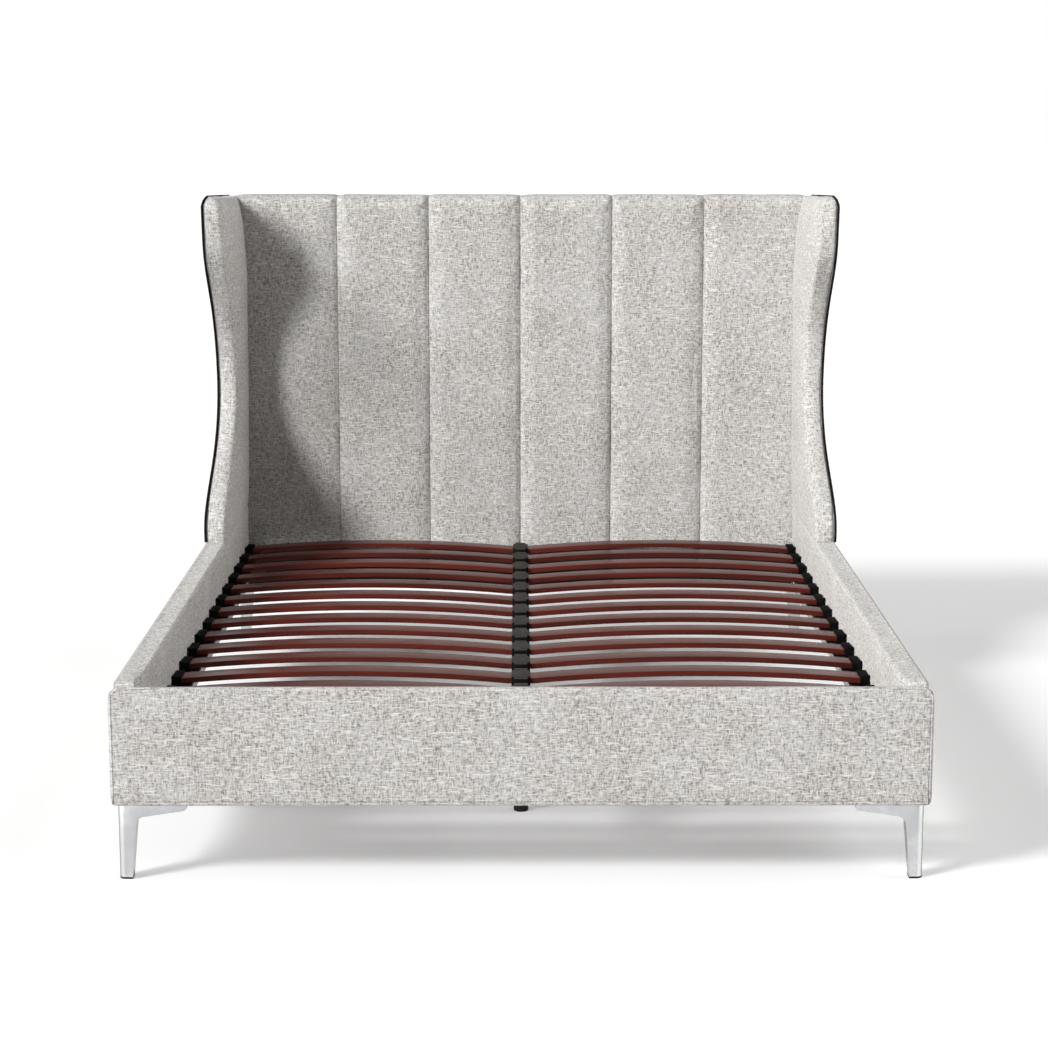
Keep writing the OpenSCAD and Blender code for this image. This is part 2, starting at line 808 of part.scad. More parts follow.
// Outline of one arm with the column, as distance from the outer face and height
leg_profile = concat(
    [[0, leg_low], [leg_foot_w, leg_low]],
    [for (i = [0:corner_steps]) let (u = i / corner_steps) [
        bezier([leg_top_w, leg_top_w + 1, leg_top_w + leg_fillet / 2, leg_top_w + leg_fillet], u),
        bezier([root_low - leg_fillet, root_low - leg_fillet / 2, root_low - 1, root_low], u)]],
    [for (i = [0:corner_steps]) let (u = i / corner_steps) [
        bezier([leg_arm_l - leg_end_r, leg_arm_l - leg_end_r / 2, leg_arm_l, leg_arm_l], u),
        bezier([arm_low, arm_low, arm_low + leg_end_r / 4, arm_low + 0.8 * leg_end_r], u)]],
    [[leg_arm_l, rail_z], [0, rail_z]]);

leg_taper = [
    [0, leg_low], [leg_foot_w, leg_low], [leg_top_w, root_low - leg_fillet],
    [leg_top_w, rail_z], [0, rail_z]];

function corner_plan(size, r) = concat(quarter(r, r, r, 180), [[size, 0], [size, size], [0, size]]);

module leg_arm() {
    intersection() {
        along_y(leg_top_w) polygon(leg_profile);
        along_x(leg_arm_l) polygon(leg_taper);
    }
}

module leg_shape() {
    difference() {
        intersection() {
            union() {
                leg_arm();
                mirror([1, -1, 0]) leg_arm();
            }
            linear_extrude(rail_z)
                polygon(corner_plan(leg_arm_l, leg_corner_r));
        }
        for (p = [[leg_bolt_u, leg_top_w / 2], [leg_top_w / 2, leg_bolt_u]])
            translate([p[0], p[1], 0]) {
                cylinder(r = bolt_hole_r, h = rail_z + 1, $fn = round_fn);
                cylinder(r = bolt_head_r + 1, h = rail_z - leg_web_t, $fn = round_fn);
            }
    }
}

// Puts a corner piece drawn at the origin under one corner of the bed
module at_corner(side, end) {
    translate([side * leg_x, end < 0 ? y_foot + leg_inset_y : y_back - leg_inset_y, 0])
        mirror([side > 0 ? 1 : 0, 0, 0])
            mirror([0, end > 0 ? 1 : 0, 0])
                children();
}

module corner_leg(side, end) {
    color(polished) at_corner(side, end) leg_shape();
}

module corner_leg_pads() {
    color(black)
        for (side = [-1, 1])
            for (end = [-1, 1])
                at_corner(side, end)
                    linear_extrude(leg_pad_h)
                        polygon(corner_plan(leg_foot_w, leg_corner_r));
}

// Centre legs with their levelling feet

function centre_leg_y(i) = y_foot + centre_leg_first + i * centre_leg_gap;

module centre_leg(i) {
    color(steel)
        translate([0, centre_leg_y(i), 0])
            difference() {
                union() {
                    translate([-beam_w / 2, -beam_w, beam_low - plate_t])
                        cube([beam_w, 2 * beam_w, plate_t]);
                    translate([0, 0, tube_low])
                        cylinder(r = centre_leg_r, h = beam_low - tube_low, $fn = round_fn);
                }
                translate([0, 0, tube_low - 1])
                    cylinder(r = stem_r + thread_play, h = insert_l + 2, $fn = round_fn);
                translate([0, 0, tube_low + insert_l])
                    cylinder(r = centre_leg_r - centre_leg_wall, h = beam_low - tube_low - insert_l - plate_t, $fn = round_fn);
            }
}

module levelling_stem(i) {
    color(zinc)
        translate([0, centre_leg_y(i), 0]) {
            translate([0, 0, stem_z]) cylinder(r = stem_r, h = stem_l, $fn = round_fn);
            translate([0, 0, hex_z]) cylinder(r = hex_r, h = hex_h, $fn = 6);
        }
}

module glide_pad(i) {
    lip = 2.5;
    color(black)
        translate([0, centre_leg_y(i), 0])
            difference() {
                rotate_extrude($fn = round_fn)
                    polygon([
                        [0, 0], [glide_r - 1, 0], [glide_r, 1], [glide_r, glide_h - lip],
                        [glide_r - lip, glide_h], [0, glide_h]]);
                translate([0, 0, socket_floor])
                    cylinder(r = stem_r + thread_play, h = glide_h, $fn = round_fn);
            }
}

// Slats and their holders

// Side outline of the right slat of a row: flat ends in the pockets, a bow between the mouths
function slat_rise_at(u) = slat_rise * 4 * u * (1 - u);

slat_line = concat(
    [[slat_in, 0]],
    [for (i = [0:slat_steps]) let (u = i / slat_steps)
        [middle_mouth + u * (cap_mouth - middle_mouth), slat_rise_at(u)]],
    [[slat_out, 0]]);

slat_outline = concat(
    [for (p = slat_line) [p[0], slat_z + p[1]]],
    [for (p = reversed(slat_line)) [p[0], slat_z + slat_t + p[1]]]);

module slat_row(i) {
    color(slat_colour)
        translate([0, row_y(i) - slat_w / 2, 0])
            both_sides_x()
                along_y(slat_w)
                    polygon(slat_outline);
}

module pocket(x0, x1) {
    translate([x0, -slat_w / 2 - fit_gap, slat_z - fit_gap])
        cube([x1 - x0, slat_w + 2 * fit_gap, slat_t + 2 * fit_gap]);
}

module slat_cap() {
    difference() {
        translate([cap_mouth, -holder_l / 2, ledge_top])
            cube([cap_out - cap_mouth, holder_l, holder_top - ledge_top]);
        pocket(cap_mouth - 1, slat_out + fit_gap);
    }
    translate([0, -holder_l / 2, 0])
        along_y(holder_l / 5)
            difference() {
                polygon(rounded(loop_x, ledge_top, loop_x + loop_w, ledge_top + loop_h, loop_rim, loop_rim));
                translate([loop_x + loop_rim, ledge_top + loop_h * 0.35])
                    square([loop_w - 2 * loop_rim, loop_h * 0.4]);
            }
    translate([cap_plug_x, 0, ledge_top - plug_l])
        cylinder(r = plug_r, h = plug_l, $fn = round_fn);
}

module slat_caps(side) {
    color(black)
        on_side(side)
            for (i = [0:slat_rows - 1])
                translate([0, row_y(i), 0]) slat_cap();
}

module slat_middle_holders() {
    color(black)
        for (i = [0:slat_rows - 1])
            translate([0, row_y(i), 0]) {
                difference() {
                    union() {
                        translate([-middle_mouth, -holder_l / 2, ledge_top])
                            cube([2 * middle_mouth, holder_l, holder_top - ledge_top]);
                        translate([-middle_strip_w / 2, -middle_strip_l / 2, holder_top - 2 * holder_wall])
                            cube([middle_strip_w, middle_strip_l, 2 * holder_wall]);
                    }
                    pocket(slat_in - fit_gap, middle_mouth + 1);
                    mirror([1, 0, 0]) pocket(slat_in - fit_gap, middle_mouth + 1);
                }
                translate([0, 0, ledge_top - plug_l])
                    cylinder(r = plug_r, h = plug_l, $fn = round_fn);
            }
}

headboard_board();
headboard_frame();
headboard_back_panel();
for (i = [0:channel_count - 1])
    channel(i);
wing_core(-1);  // wing_core_left
wing_core(1);  // wing_core_right
wing_pad(-1);  // wing_pad_left
wing_pad(1);  // wing_pad_right
wing_panel(-1);  // wing_panel_left
wing_panel(1);  // wing_panel_right
wing_piping(-1);  // wing_piping_left
wing_piping(1);  // wing_piping_right
side_rail_board(-1);  // side_rail_board_left
side_rail_board(1);  // side_rail_board_right
side_rail_cover(-1);  // side_rail_cover_left
side_rail_cover(1);  // side_rail_cover_right
foot_rail_board();
foot_rail_cover();
foot_rail_welt(-1);  // foot_rail_welt_left
foot_rail_welt(1);  // foot_rail_welt_right
slat_ledge(-1);  // slat_ledge_left
slat_ledge(1);  // slat_ledge_right
centre_beam();
beam_hangers();
centre_leg(0);  // centre_leg_foot_end
centre_leg(1);  // centre_leg_head_end
levelling_stem(0);  // levelling_stem_foot_end
levelling_stem(1);  // levelling_stem_head_end
glide_pad(0);  // glide_pad_foot_end
glide_pad(1);  // glide_pad_head_end
corner_leg(-1, -1);  // corner_leg_foot_left
corner_leg(1, -1);  // corner_leg_foot_right
corner_leg(-1, 1);  // corner_leg_head_left
corner_leg(1, 1);  // corner_leg_head_right
corner_leg_pads();
corner_brackets();
frame_bolts();
slat_caps(-1);  // slat_caps_left
slat_caps(1);  // slat_caps_right
slat_middle_holders();
for (i = [0:slat_rows - 1])
    slat_row(i);
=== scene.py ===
"""The looks of an upholstered wingback bed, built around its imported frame.

The foot of the bed is towards -Y, the head towards +Y, and left and right are seen from the foot.
Every size is in metres.
"""

import json
import math

import bpy
import numpy as np
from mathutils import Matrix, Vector, noise

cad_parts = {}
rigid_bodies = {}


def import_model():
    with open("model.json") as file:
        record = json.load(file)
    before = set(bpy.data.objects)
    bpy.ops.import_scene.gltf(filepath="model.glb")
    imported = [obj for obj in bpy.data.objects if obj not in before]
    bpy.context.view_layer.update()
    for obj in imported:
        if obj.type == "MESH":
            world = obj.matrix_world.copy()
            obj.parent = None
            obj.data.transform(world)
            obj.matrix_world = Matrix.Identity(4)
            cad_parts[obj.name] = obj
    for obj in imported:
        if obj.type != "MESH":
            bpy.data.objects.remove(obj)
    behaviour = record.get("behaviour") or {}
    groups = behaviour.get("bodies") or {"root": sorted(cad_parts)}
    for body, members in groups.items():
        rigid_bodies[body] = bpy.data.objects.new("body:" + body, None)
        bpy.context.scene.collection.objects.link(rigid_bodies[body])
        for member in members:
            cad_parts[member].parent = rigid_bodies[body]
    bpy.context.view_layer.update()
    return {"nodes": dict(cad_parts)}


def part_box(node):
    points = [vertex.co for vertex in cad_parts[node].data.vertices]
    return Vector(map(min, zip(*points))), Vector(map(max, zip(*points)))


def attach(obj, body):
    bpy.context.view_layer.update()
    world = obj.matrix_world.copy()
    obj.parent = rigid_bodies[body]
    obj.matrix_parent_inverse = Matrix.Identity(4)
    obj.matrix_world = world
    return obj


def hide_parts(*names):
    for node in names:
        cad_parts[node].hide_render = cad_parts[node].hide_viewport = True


bl_info = {
    "name": "Upholstered wingback bed",
    "version": (1, 0, 0),
    "blender": (4, 5, 0),
    "location": "3D View > Sidebar > Bed",
    "description": "Builds the upholstery, slats, legs and finishes of a wingback bed",
    "category": "Add Mesh",
}

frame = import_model()
NODES = frame["nodes"]

RAIL_IN, RAIL_OUT = (corner.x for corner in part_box("side_rail_cover_right"))
RAIL_LOW, RAIL_TOP = (corner.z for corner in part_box("side_rail_cover_right"))
RAIL_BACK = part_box("side_rail_cover_right")[1].y
FOOT_FRONT, FOOT_BACK = (corner.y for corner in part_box("foot_rail_cover"))
FOOT_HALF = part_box("foot_rail_cover")[1].x
HEAD_FACE, HEAD_BACK = (corner.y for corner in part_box("headboard_channel_1"))
HEAD_DEEP = HEAD_BACK - HEAD_FACE
HEAD_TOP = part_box("headboard_channel_1")[1].z
HEAD_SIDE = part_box("headboard_channel_6")[1].x
BOARD_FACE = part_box("headboard_board")[0].y
FRAME_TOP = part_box("headboard_frame")[1].z
LEDGE_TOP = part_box("slat_ledge_right")[1].z

CHANNELS = 6
SLAT_ROWS = 15
SLAT_THICK, SLAT_RISE, SLAT_EDGE = 0.012, 0.016, 0.0008
CLOTH_FRAMES = 20  # length of each pad's cloth run
RAIL_SWELL = 0.002  # most that a rail's padding swells
FOOT_FALL = 0.0085  # how far the foot rail's top slopes down to its back
PAD_FOLLOW = 0.0015  # gap left between a wing and the outer channels
MIDDLE_SHARE = 0.72  # width of the middle holders, as a share of the CAD's
WHITE = (1, 1, 1, 1)


# Small tools for shaping a piece


def unit(value):
    """The value, kept between 0 and 1."""
    return min(1.0, max(0.0, value))


def quarter(steps):
    """The angles of a quarter turn."""
    return [math.pi / 2 * i / steps for i in range(steps + 1)]


def enter(mode):
    """Puts the active object into the mode."""
    bpy.ops.object.mode_set(mode=mode)


def clear_selection():
    """Leaves every object unselected, in object mode."""
    if bpy.context.object and bpy.context.object.mode != "OBJECT":
        enter("OBJECT")
    bpy.ops.object.select_all(action="DESELECT")


def pick(piece):
    """Makes the piece the only selected object, and the active one."""
    clear_selection()
    piece.select_set(True)
    bpy.context.view_layer.objects.active = piece


def edit(piece, action="SELECT"):
    """Enters edit mode with all of the piece selected, or none of it."""
    pick(piece)
    enter("EDIT")
    bpy.ops.mesh.select_all(action=action)


def call(piece, name):
    """Names the piece and its mesh."""
    piece.name = name
    piece.data.name = name
    return piece


def named(name):
    """Gives the primitive that was just added its name and puts its place into its mesh."""
    bpy.ops.object.transform_apply(location=True, rotation=True, scale=True)
    return call(bpy.context.object, name)


def points_of(piece):
    """The piece's vertices as an array."""
    co = np.empty(len(piece.data.vertices) * 3)
    piece.data.vertices.foreach_get("co", co)
    return co.reshape(-1, 3)


def put_points(piece, co):
    """Moves the piece's vertices to the places in the array."""
    piece.data.vertices.foreach_set("co", np.asarray(co, float).ravel())
    piece.data.update()


def turns_of(co, count):
    """Which of the steps round the Z axis each point stands on."""
    return np.rint(np.arctan2(co[:, 0], co[:, 1]) / (2 * math.pi) * count).astype(int) % count


def face_outwards(piece):
    """Turns every face of the piece outwards."""
    edit(piece)
    bpy.ops.mesh.normals_make_consistent(inside=False)
    enter("OBJECT")


def drawn_out(piece, way):
    """Makes a closed form from a flat piece, by drawing it out along the vector."""
    edit(piece)
    bpy.ops.mesh.extrude_region_move(TRANSFORM_OT_translate={"value": way})
    enter("OBJECT")


def apply_new(piece, kind, **settings):
    """Adds a modifier of this kind with its settings and applies it."""
    pick(piece)
    bpy.ops.object.modifier_add(type=kind)
    modifier = piece.modifiers[-1]
    for key, value in settings.items():
        setattr(modifier, key, value)
    bpy.ops.object.modifier_apply(modifier=modifier.name)


def smooth(piece, degrees=None):
    """Shades the piece smooth all over, or only across edges flatter than the angle."""
    pick(piece)
    if degrees is None:
        bpy.ops.object.shade_smooth()
    else:
        bpy.ops.object.shade_smooth_by_angle(angle=math.radians(degrees))


def lofted(name, rings):
    """A closed form through rings of equal length, begun as a cylinder with a level for each ring."""
    rings = np.asarray(rings, float)
    levels, around = rings.shape[:2]
    clear_selection()
    bpy.ops.mesh.primitive_cylinder_add(vertices=around, radius=1, depth=1, end_fill_type="TRIFAN")
    piece = named(name)
    edit(piece, "DESELECT")
    bpy.ops.mesh.select_mode(type="EDGE")
    enter("OBJECT")
    z = points_of(piece)[:, 2]
    for e in piece.data.edges:
        e.select = bool(abs(z[e.vertices[0]] - z[e.vertices[1]]) > 0.5)
    enter("EDIT")
    bpy.ops.mesh.subdivide(number_cuts=levels - 2)
    enter("OBJECT")
    co = points_of(piece)
    level = np.clip(np.rint((co[:, 2] + 0.5) * (levels - 1)).astype(int), 0, levels - 1)
    shaped = rings[level, turns_of(co, around)]
    hub = np.hypot(co[:, 0], co[:, 1]) < 0.5
    shaped[hub] = rings[level[hub]].mean(axis=1)
    put_points(piece, shaped)
    face_outwards(piece)
    return piece


def plate(name, outline, way, easing):
    """A plate from an outline of points, drawn out along the vector, with eased edges."""
    clear_selection()
    bpy.ops.mesh.primitive_circle_add(vertices=len(outline), radius=1, fill_type="NGON")
    piece = named(name)
    put_points(piece, np.asarray(outline)[turns_of(points_of(piece), len(outline))])
    drawn_out(piece, way)
    face_outwards(piece)
    apply_new(piece, "BEVEL", width=easing, segments=3, limit_method="ANGLE", angle_limit=math.radians(50))
    smooth(piece, 40)
    return piece


def copied(piece, name, step=(0, 0, 0)):
    """A copy of the piece with its own mesh, moved by the step."""
    pick(piece)
    bpy.ops.object.duplicate(linked=False)
    twin = call(bpy.context.object, name)
    if any(step):
        put_points(twin, points_of(twin) + np.array(step))
    return twin


def mirrored(piece, name):
    """A copy of the piece for the other side of the bed, with its faces outwards."""
    twin = copied(piece, name)
    put_points(twin, points_of(twin) * (-1, 1, 1))
    edit(twin)
    bpy.ops.mesh.flip_normals()
    enter("OBJECT")
    return twin


def joined(name, pieces):
    """The pieces as one object."""
    pick(pieces[0])
    for piece in pieces[1:]:
        piece.select_set(True)
    bpy.ops.object.join()
    return call(pieces[0], name)


def eased_copy(name, node, width, segments=2):
    """A copy of a CAD node with its sharp edges eased."""
    piece = copied(NODES[node], name)
    for key in list(piece.keys()):
        del piece[key]
    piece.parent = None
    piece.data.materials.clear()
    edit(piece)
    bpy.ops.mesh.remove_doubles(threshold=0.00002)
    bpy.ops.mesh.normals_make_consistent(inside=False)
    bpy.ops.mesh.dissolve_limited(angle_limit=math.radians(1))
    enter("OBJECT")
    apply_new(piece, "BEVEL", width=width, segments=segments, limit_method="ANGLE",
              angle_limit=math.radians(35), use_clamp_overlap=True)
    smooth(piece, 40)
    return piece


def swelled(piece, pressure, cap, held):
    """Swells a pad by a short cloth run. Held points stay, and none moves further than the cap."""
    before = points_of(piece)
    group = piece.vertex_groups.new(name="held")
    group.add([int(i) for i in np.nonzero(held)[0]], 1.0, "REPLACE")
    pick(piece)
    bpy.ops.object.modifier_add(type="CLOTH")
    cloth = piece.modifiers[-1]
    cloth.settings.quality = 4
    cloth.settings.use_pressure = True
    cloth.settings.uniform_pressure_force = pressure
    cloth.settings.vertex_group_mass = "held"
    cloth.settings.effector_weights.gravity = 0
    cloth.point_cache.frame_start = 1
    cloth.point_cache.frame_end = CLOTH_FRAMES
    for step in range(1, CLOTH_FRAMES + 1):
        bpy.context.scene.frame_set(step)
    bpy.ops.object.modifier_apply(modifier=cloth.name)
    bpy.context.scene.frame_set(1)
    piece.vertex_groups.clear()
    move = points_of(piece) - before
    length = np.maximum(np.linalg.norm(move, axis=1), 1e-9)
    put_points(piece, before + move * (cap * np.tanh(length / cap) / length)[:, None])


def uneven(piece, size, height, seed, weight):
    """Moves the points in and out by a slow noise, so that padding looks filled by hand."""
    co = points_of(piece)
    normal = np.empty(co.size)
    piece.data.vertices.foreach_get("normal", normal)
    lift = np.array([noise.noise(Vector(p) / size + Vector((seed, 0, 0))) for p in co])
    put_points(piece, co + normal.reshape(-1, 3) * (lift * height * weight)[:, None])


def filled(piece, size, height, seed, loose, pressure, cap, held):
    """Makes a pad uneven, by a smaller share where it is held, swells it and rounds it off."""
    uneven(piece, size, height, seed, np.where(held, loose, 1.0))
    swelled(piece, pressure, cap, held)
    apply_new(piece, "SUBSURF", levels=1, render_levels=1)
    smooth(piece)


def finish_piece(piece, body, slot, finish, *nodes):
    """Puts the finish on the piece, makes it ride on its body and stand for its CAD nodes."""
    piece.data.materials.clear()
    piece.data.materials.append(finish)
    for face in piece.data.polygons:
        face.material_index = 0
    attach(piece, body)
    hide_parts(*nodes)


def both_sides(*rows):
    """Puts each row's piece on the right and, mirrored, on the left. A row ends with its padding's share, which
    is not used.
    """
    for side in ("right", "left"):
        for piece, label, slot, finish, nodes, fill in rows:
            made = (copied if side == "right" else mirrored)(piece, f"{label}_{side}")
            finish_piece(made, "bed", slot, finish, *(f"{node}_{side}" for node in nodes))
    for row in rows:
        bpy.data.objects.remove(row[0])


def dress(finish, *nodes):
    """Puts a finish on CAD nodes whose shape stays."""
    for node in nodes:
        node = NODES[node]
        if not node.material_slots:
            node.data.materials.append(finish)
        for slot in node.material_slots:
            slot.material = finish


# Materials


class Value:
    """A socket's value, on which Python's operators add the Math nodes."""

    def __init__(self, graph, socket):
        self.graph = graph
        self.socket = socket

    def math(self, operation, *others):
        """A Math node on this value and the others."""
        return self.graph.add("ShaderNodeMath", dict(enumerate((self,) + others)), operation=operation)

    def __add__(self, other):
        return self.math("ADD", other)

    def __sub__(self, other):
        return self.math("SUBTRACT", other)

    def __rsub__(self, other):
        return self.graph.add("ShaderNodeMath", {0: other, 1: self}, operation="SUBTRACT")

    def __mul__(self, other):
        return self.math("MULTIPLY", other)

    def __abs__(self):
        return self.math("ABSOLUTE")

    __radd__ = __add__
    __rmul__ = __mul__

    def over(self, limit):
        """1 where the value is over the limit."""
        return self.math("GREATER_THAN", limit)

    def ramp(self, low, high):
        """0 at low and 1 at high, eased between."""
        return self.graph.add("ShaderNodeMapRange", {"Value": self, "From Min": low, "From Max": high},
                              interpolation_type="SMOOTHSTEP")

    def line(self, width):
        """1 where the value is zero, falling to 0 on both sides of a line of this width."""
        return 1 - abs(self).ramp(width * 0.25, width * 0.75)


class Graph:
    """The nodes of a material or of the world, with the method that makes them."""

    def __init__(self, tree, output):
        self.tree = tree
        tree.nodes.clear()
        self.output = tree.nodes.new(output)

    def show(self, surface):
        """Sends a shader to the output."""
        self.tree.links.new(surface.socket, self.output.inputs["Surface"])

    def add(self, kind, inputs=None, out=0, stops=(), **settings):
        """A node of this kind, its settings and stops first and then the values or links of its sockets."""
        node = self.tree.nodes.new(kind)
        for key, value in settings.items():
            setattr(node, key, value)
        if stops:
            elements = node.color_ramp.elements
            while len(elements) < len(stops):
                elements.new(0.5)
            for element, (at, colour) in zip(elements, stops):
                element.position = at
                element.color = colour
        for key, value in (inputs or {}).items():
            if isinstance(value, Value):
                self.tree.links.new(value.socket, node.inputs[key])
            else:
                node.inputs[key].default_value = value
        return Value(self, node.outputs[out])

    def seen(self):
        """1 for what the camera sees, itself or by a gloss or through a glass, and 0 for light on the bed."""
        rays = self.add("ShaderNodeLightPath").socket.node.outputs
        camera, glossy, through = (Value(self, rays[f"Is {kind} Ray"])
                                   for kind in ("Camera", "Glossy", "Transmission"))
        return camera.math("MAXIMUM", glossy).math("MAXIMUM", through)


class Finish(Graph):
    """One material. x, y and z are the places on the object."""

    def __init__(self, name, **constants):
        self.material = bpy.data.materials.new(name)
        self.material.use_nodes = True
        super().__init__(self.material.node_tree, "ShaderNodeOutputMaterial")
        self.shader = self.tree.nodes.new("ShaderNodeBsdfPrincipled")
        self.surface = Value(self, self.shader.outputs[0])
        self.show(self.surface)
        for key, value in constants.items():
            self.shader.inputs[key.replace("_", " ")].default_value = value
        self.place = self.tree.nodes.new("ShaderNodeTexCoord").outputs
        self.x, self.y, self.z = self.split("Object")

    def split(self, place):
        """The three parts of a texture coordinate."""
        parts = self.add("ShaderNodeSeparateXYZ", {0: Value(self, self.place[place])}).socket.node.outputs
        return tuple(Value(self, part) for part in parts)

    def facing(self):
        """The three parts of the direction in which the surface faces."""
        return self.split("Normal")

    def grain(self, u, v, w=0.0, detail=2.0, roughness=0.5):
        """Noise from 0 to 1 on the coordinates given."""
        at = self.add("ShaderNodeCombineXYZ", {0: u, 1: v, 2: w})
        sockets = {"Vector": at, "Scale": 1.0, "Detail": detail, "Roughness": roughness}
        return self.add("ShaderNodeTexNoise", sockets, noise_dimensions="3D")

    def speckle(self, x, y, z, **kind):
        """Noise from 0 to 1, this fine along each axis of the object."""
        return self.grain(self.x * x, self.y * y, self.z * z, **kind)

    def blend(self, share, first, second, kind="MIX"):
        """Two colours mixed by the share."""
        return self.add("ShaderNodeMix", {0: share, 6: first, 7: second}, 2, data_type="RGBA", blend_type=kind)

    def tones(self, value, *stops):
        """Colours along a value."""
        return self.add("ShaderNodeValToRGB", {0: value}, stops=stops)

    def feed(self, socket, value):
        """Lets the value change this socket of the shader over the surface."""
        self.tree.links.new(value.socket, self.shader.inputs[socket])

    def done(self, colour, height, distance, strength, rough=None):
        """The material with this colour, raised by the height times the distance, and perhaps a roughness."""
        self.feed("Base Color", colour)
        bumped = self.add("ShaderNodeBump", {"Strength": strength, "Distance": distance, "Height": height})
        self.feed("Normal", bumped)
        if rough:
            self.feed("Roughness", rough)
        return self.material


def srgb(red, green, blue):
    """A colour from its 0 to 255 values as seen on a screen."""
    def line(value):
        value /= 255
        return value / 12.92 if value <= 0.04045 else ((value + 0.055) / 1.055) ** 2.4
    return (line(red), line(green), line(blue), 1.0)


def shade(colour, share=1.0, lift=0.0):
    """The colour made darker or lighter."""
    return tuple(min(1, c * share + lift) for c in tuple(colour)[:3]) + (1,)


def cloth_axes(finish):
    """Coordinates along and up the cloth, chosen by the way the surface faces."""
    nx, _, nz = finish.facing()
    side = abs(nx).over(0.62)
    level = abs(nz).over(0.62)
    return finish.x * (1 - side) + finish.y * side, finish.z * (1 - level) + finish.y * level


def tweed(name, look, tone=1.0, seam=None, black_below=None):
    """Light grey tweed with slubs, flecks and a plain weave.

    seam(x, y, z) may give a line that is sunk and darkened as painted shade in its crease, and black_below a
    height below which the cloth is near black. tone lightens or darkens the whole cloth of a piece, making lit
    and shaded copies of the one tweed: painted light and shade.
    """
    finish = Finish(name, Roughness=0.92, Sheen_Weight=0.12, Sheen_Roughness=0.6, Specular_IOR_Level=0.25)
    along, up = cloth_axes(finish)
    weft = finish.grain(along * 78, up * 320, 0, detail=3, roughness=0.6)
    warp = finish.grain(along * 320, up * 88, 7.3, detail=3, roughness=0.6)
    fleck = finish.grain(along * 210, up * 260, 3.1, detail=3, roughness=0.7)
    slub = finish.grain(along * 46, up * 260, 11.7, detail=1)
    upright = finish.grain(along * 270, up * 58, 23.1, detail=1)
    patch = finish.grain(along * 7, up * 9, 1.3, detail=3)
    tone_at = weft * 0.40 + warp * 0.38 + fleck * 0.22 + (patch - 0.5) * 0.09
    light, dark = shade(look.fabric_light, tone), shade(look.fabric_dark, tone)
    middle = tuple(a * 0.62 + b * 0.38 for a, b in zip(light, dark))
    colour = finish.tones(tone_at, (0.40, dark), (0.49, middle), (0.58, light))
    thick = slub.ramp(0.60, 0.68).math("MAXIMUM", upright.ramp(0.62, 0.70))
    colour = finish.blend(thick * 0.7, colour, shade(light, 1.25))
    colour = finish.blend(fleck.ramp(0.64, 0.72) * 0.6, colour, shade(dark, 0.5))
    warm = finish.tones(patch, (0.35, (1.0, 0.992, 0.978, 1)), (0.65, (0.985, 0.992, 1.0, 1)))
    colour = finish.blend(1.0, colour, warm, "MULTIPLY")
    weave = (along * 4200).math("SINE") * (up * 4200).math("SINE")
    height = weft * 0.5 + warp * 0.45 + thick * 0.3 + weave * 0.12
    if seam:
        # Painted shade: the seam's line is darkened like the shade in its crease, and the bump sinks it.
        sunk = seam(finish.x, finish.y, finish.z)
        colour = finish.blend(sunk * 0.72, colour, shade(dark, 0.35))
        height = height - sunk * 1.6
    if black_below:
        # Below this height the cloth is coloured near black.
        lining = 1 - finish.z.ramp(black_below - 0.002, black_below + 0.002)
        colour = finish.blend(lining, colour, srgb(12, 11, 11))
    return finish.done(colour, height, 0.0011, 0.75)


def plain_cloth(name, tone):
    """A plain woven lining."""
    finish = Finish(name, Roughness=0.95, Sheen_Weight=0.08, Specular_IOR_Level=0.2)
    along, up = cloth_axes(finish)
    weave = (along * 2600).math("SINE") * (up * 2600).math("SINE")
    dye = finish.grain(along * 30, up * 30, 0, detail=4)
    thread = finish.grain(along * 300, up * 900, 2)
    colour = finish.tones(dye * 0.5 + thread * 0.5, (0.35, shade(tone, 0.82)), (0.65, tone))
    return finish.done(colour, weave * 0.4 + thread, 0.0006, 0.6)


def piping_cloth(name, look):
    """Black piping cord with a fine twill."""
    finish = Finish(name, Roughness=0.9, Specular_IOR_Level=0.0)
    twill = ((finish.y + finish.z) * 2100).math("SINE")
    dust = finish.speckle(120, 120, 120, detail=4)
    colour = finish.tones(dust, (0.42, shade(look.piping_colour)), (0.7, shade(look.piping_colour, 1.8, 0.004)))
    return finish.done(colour, twill * 0.5 + dust, 0.0004, 0.7)


def lacquered_slat(name, look):
    """Red-brown lacquered beech: grain along the slat, darker cut edges and a satin coat on the tops."""
    finish = Finish(name, Specular_IOR_Level=0.08, Coat_Roughness=0.2)
    ring = finish.speckle(3.2, 120, 60, detail=4, roughness=0.6)
    pore = finish.speckle(26, 900, 300)
    board = finish.grain(finish.x * 0.9, finish.y * 7.6, 4.0, detail=0)
    base = look.slat_colour
    dark = shade(base, 0.62)
    tone_at = ring * 0.75 + board * 0.25
    colour = finish.tones(tone_at, (0.36, dark), (0.5, shade(base)), (0.66, shade(base, 1.45)))
    colour = finish.blend(pore.ramp(0.60, 0.72) * 0.45, colour, dark)
    finish.feed("Coat Weight", finish.facing()[2].ramp(0.85, 0.98) * 0.46 + 0.08)
    return finish.done(colour, pore + ring * 0.5, 0.0003, 0.35, 0.40 + pore * 0.16)


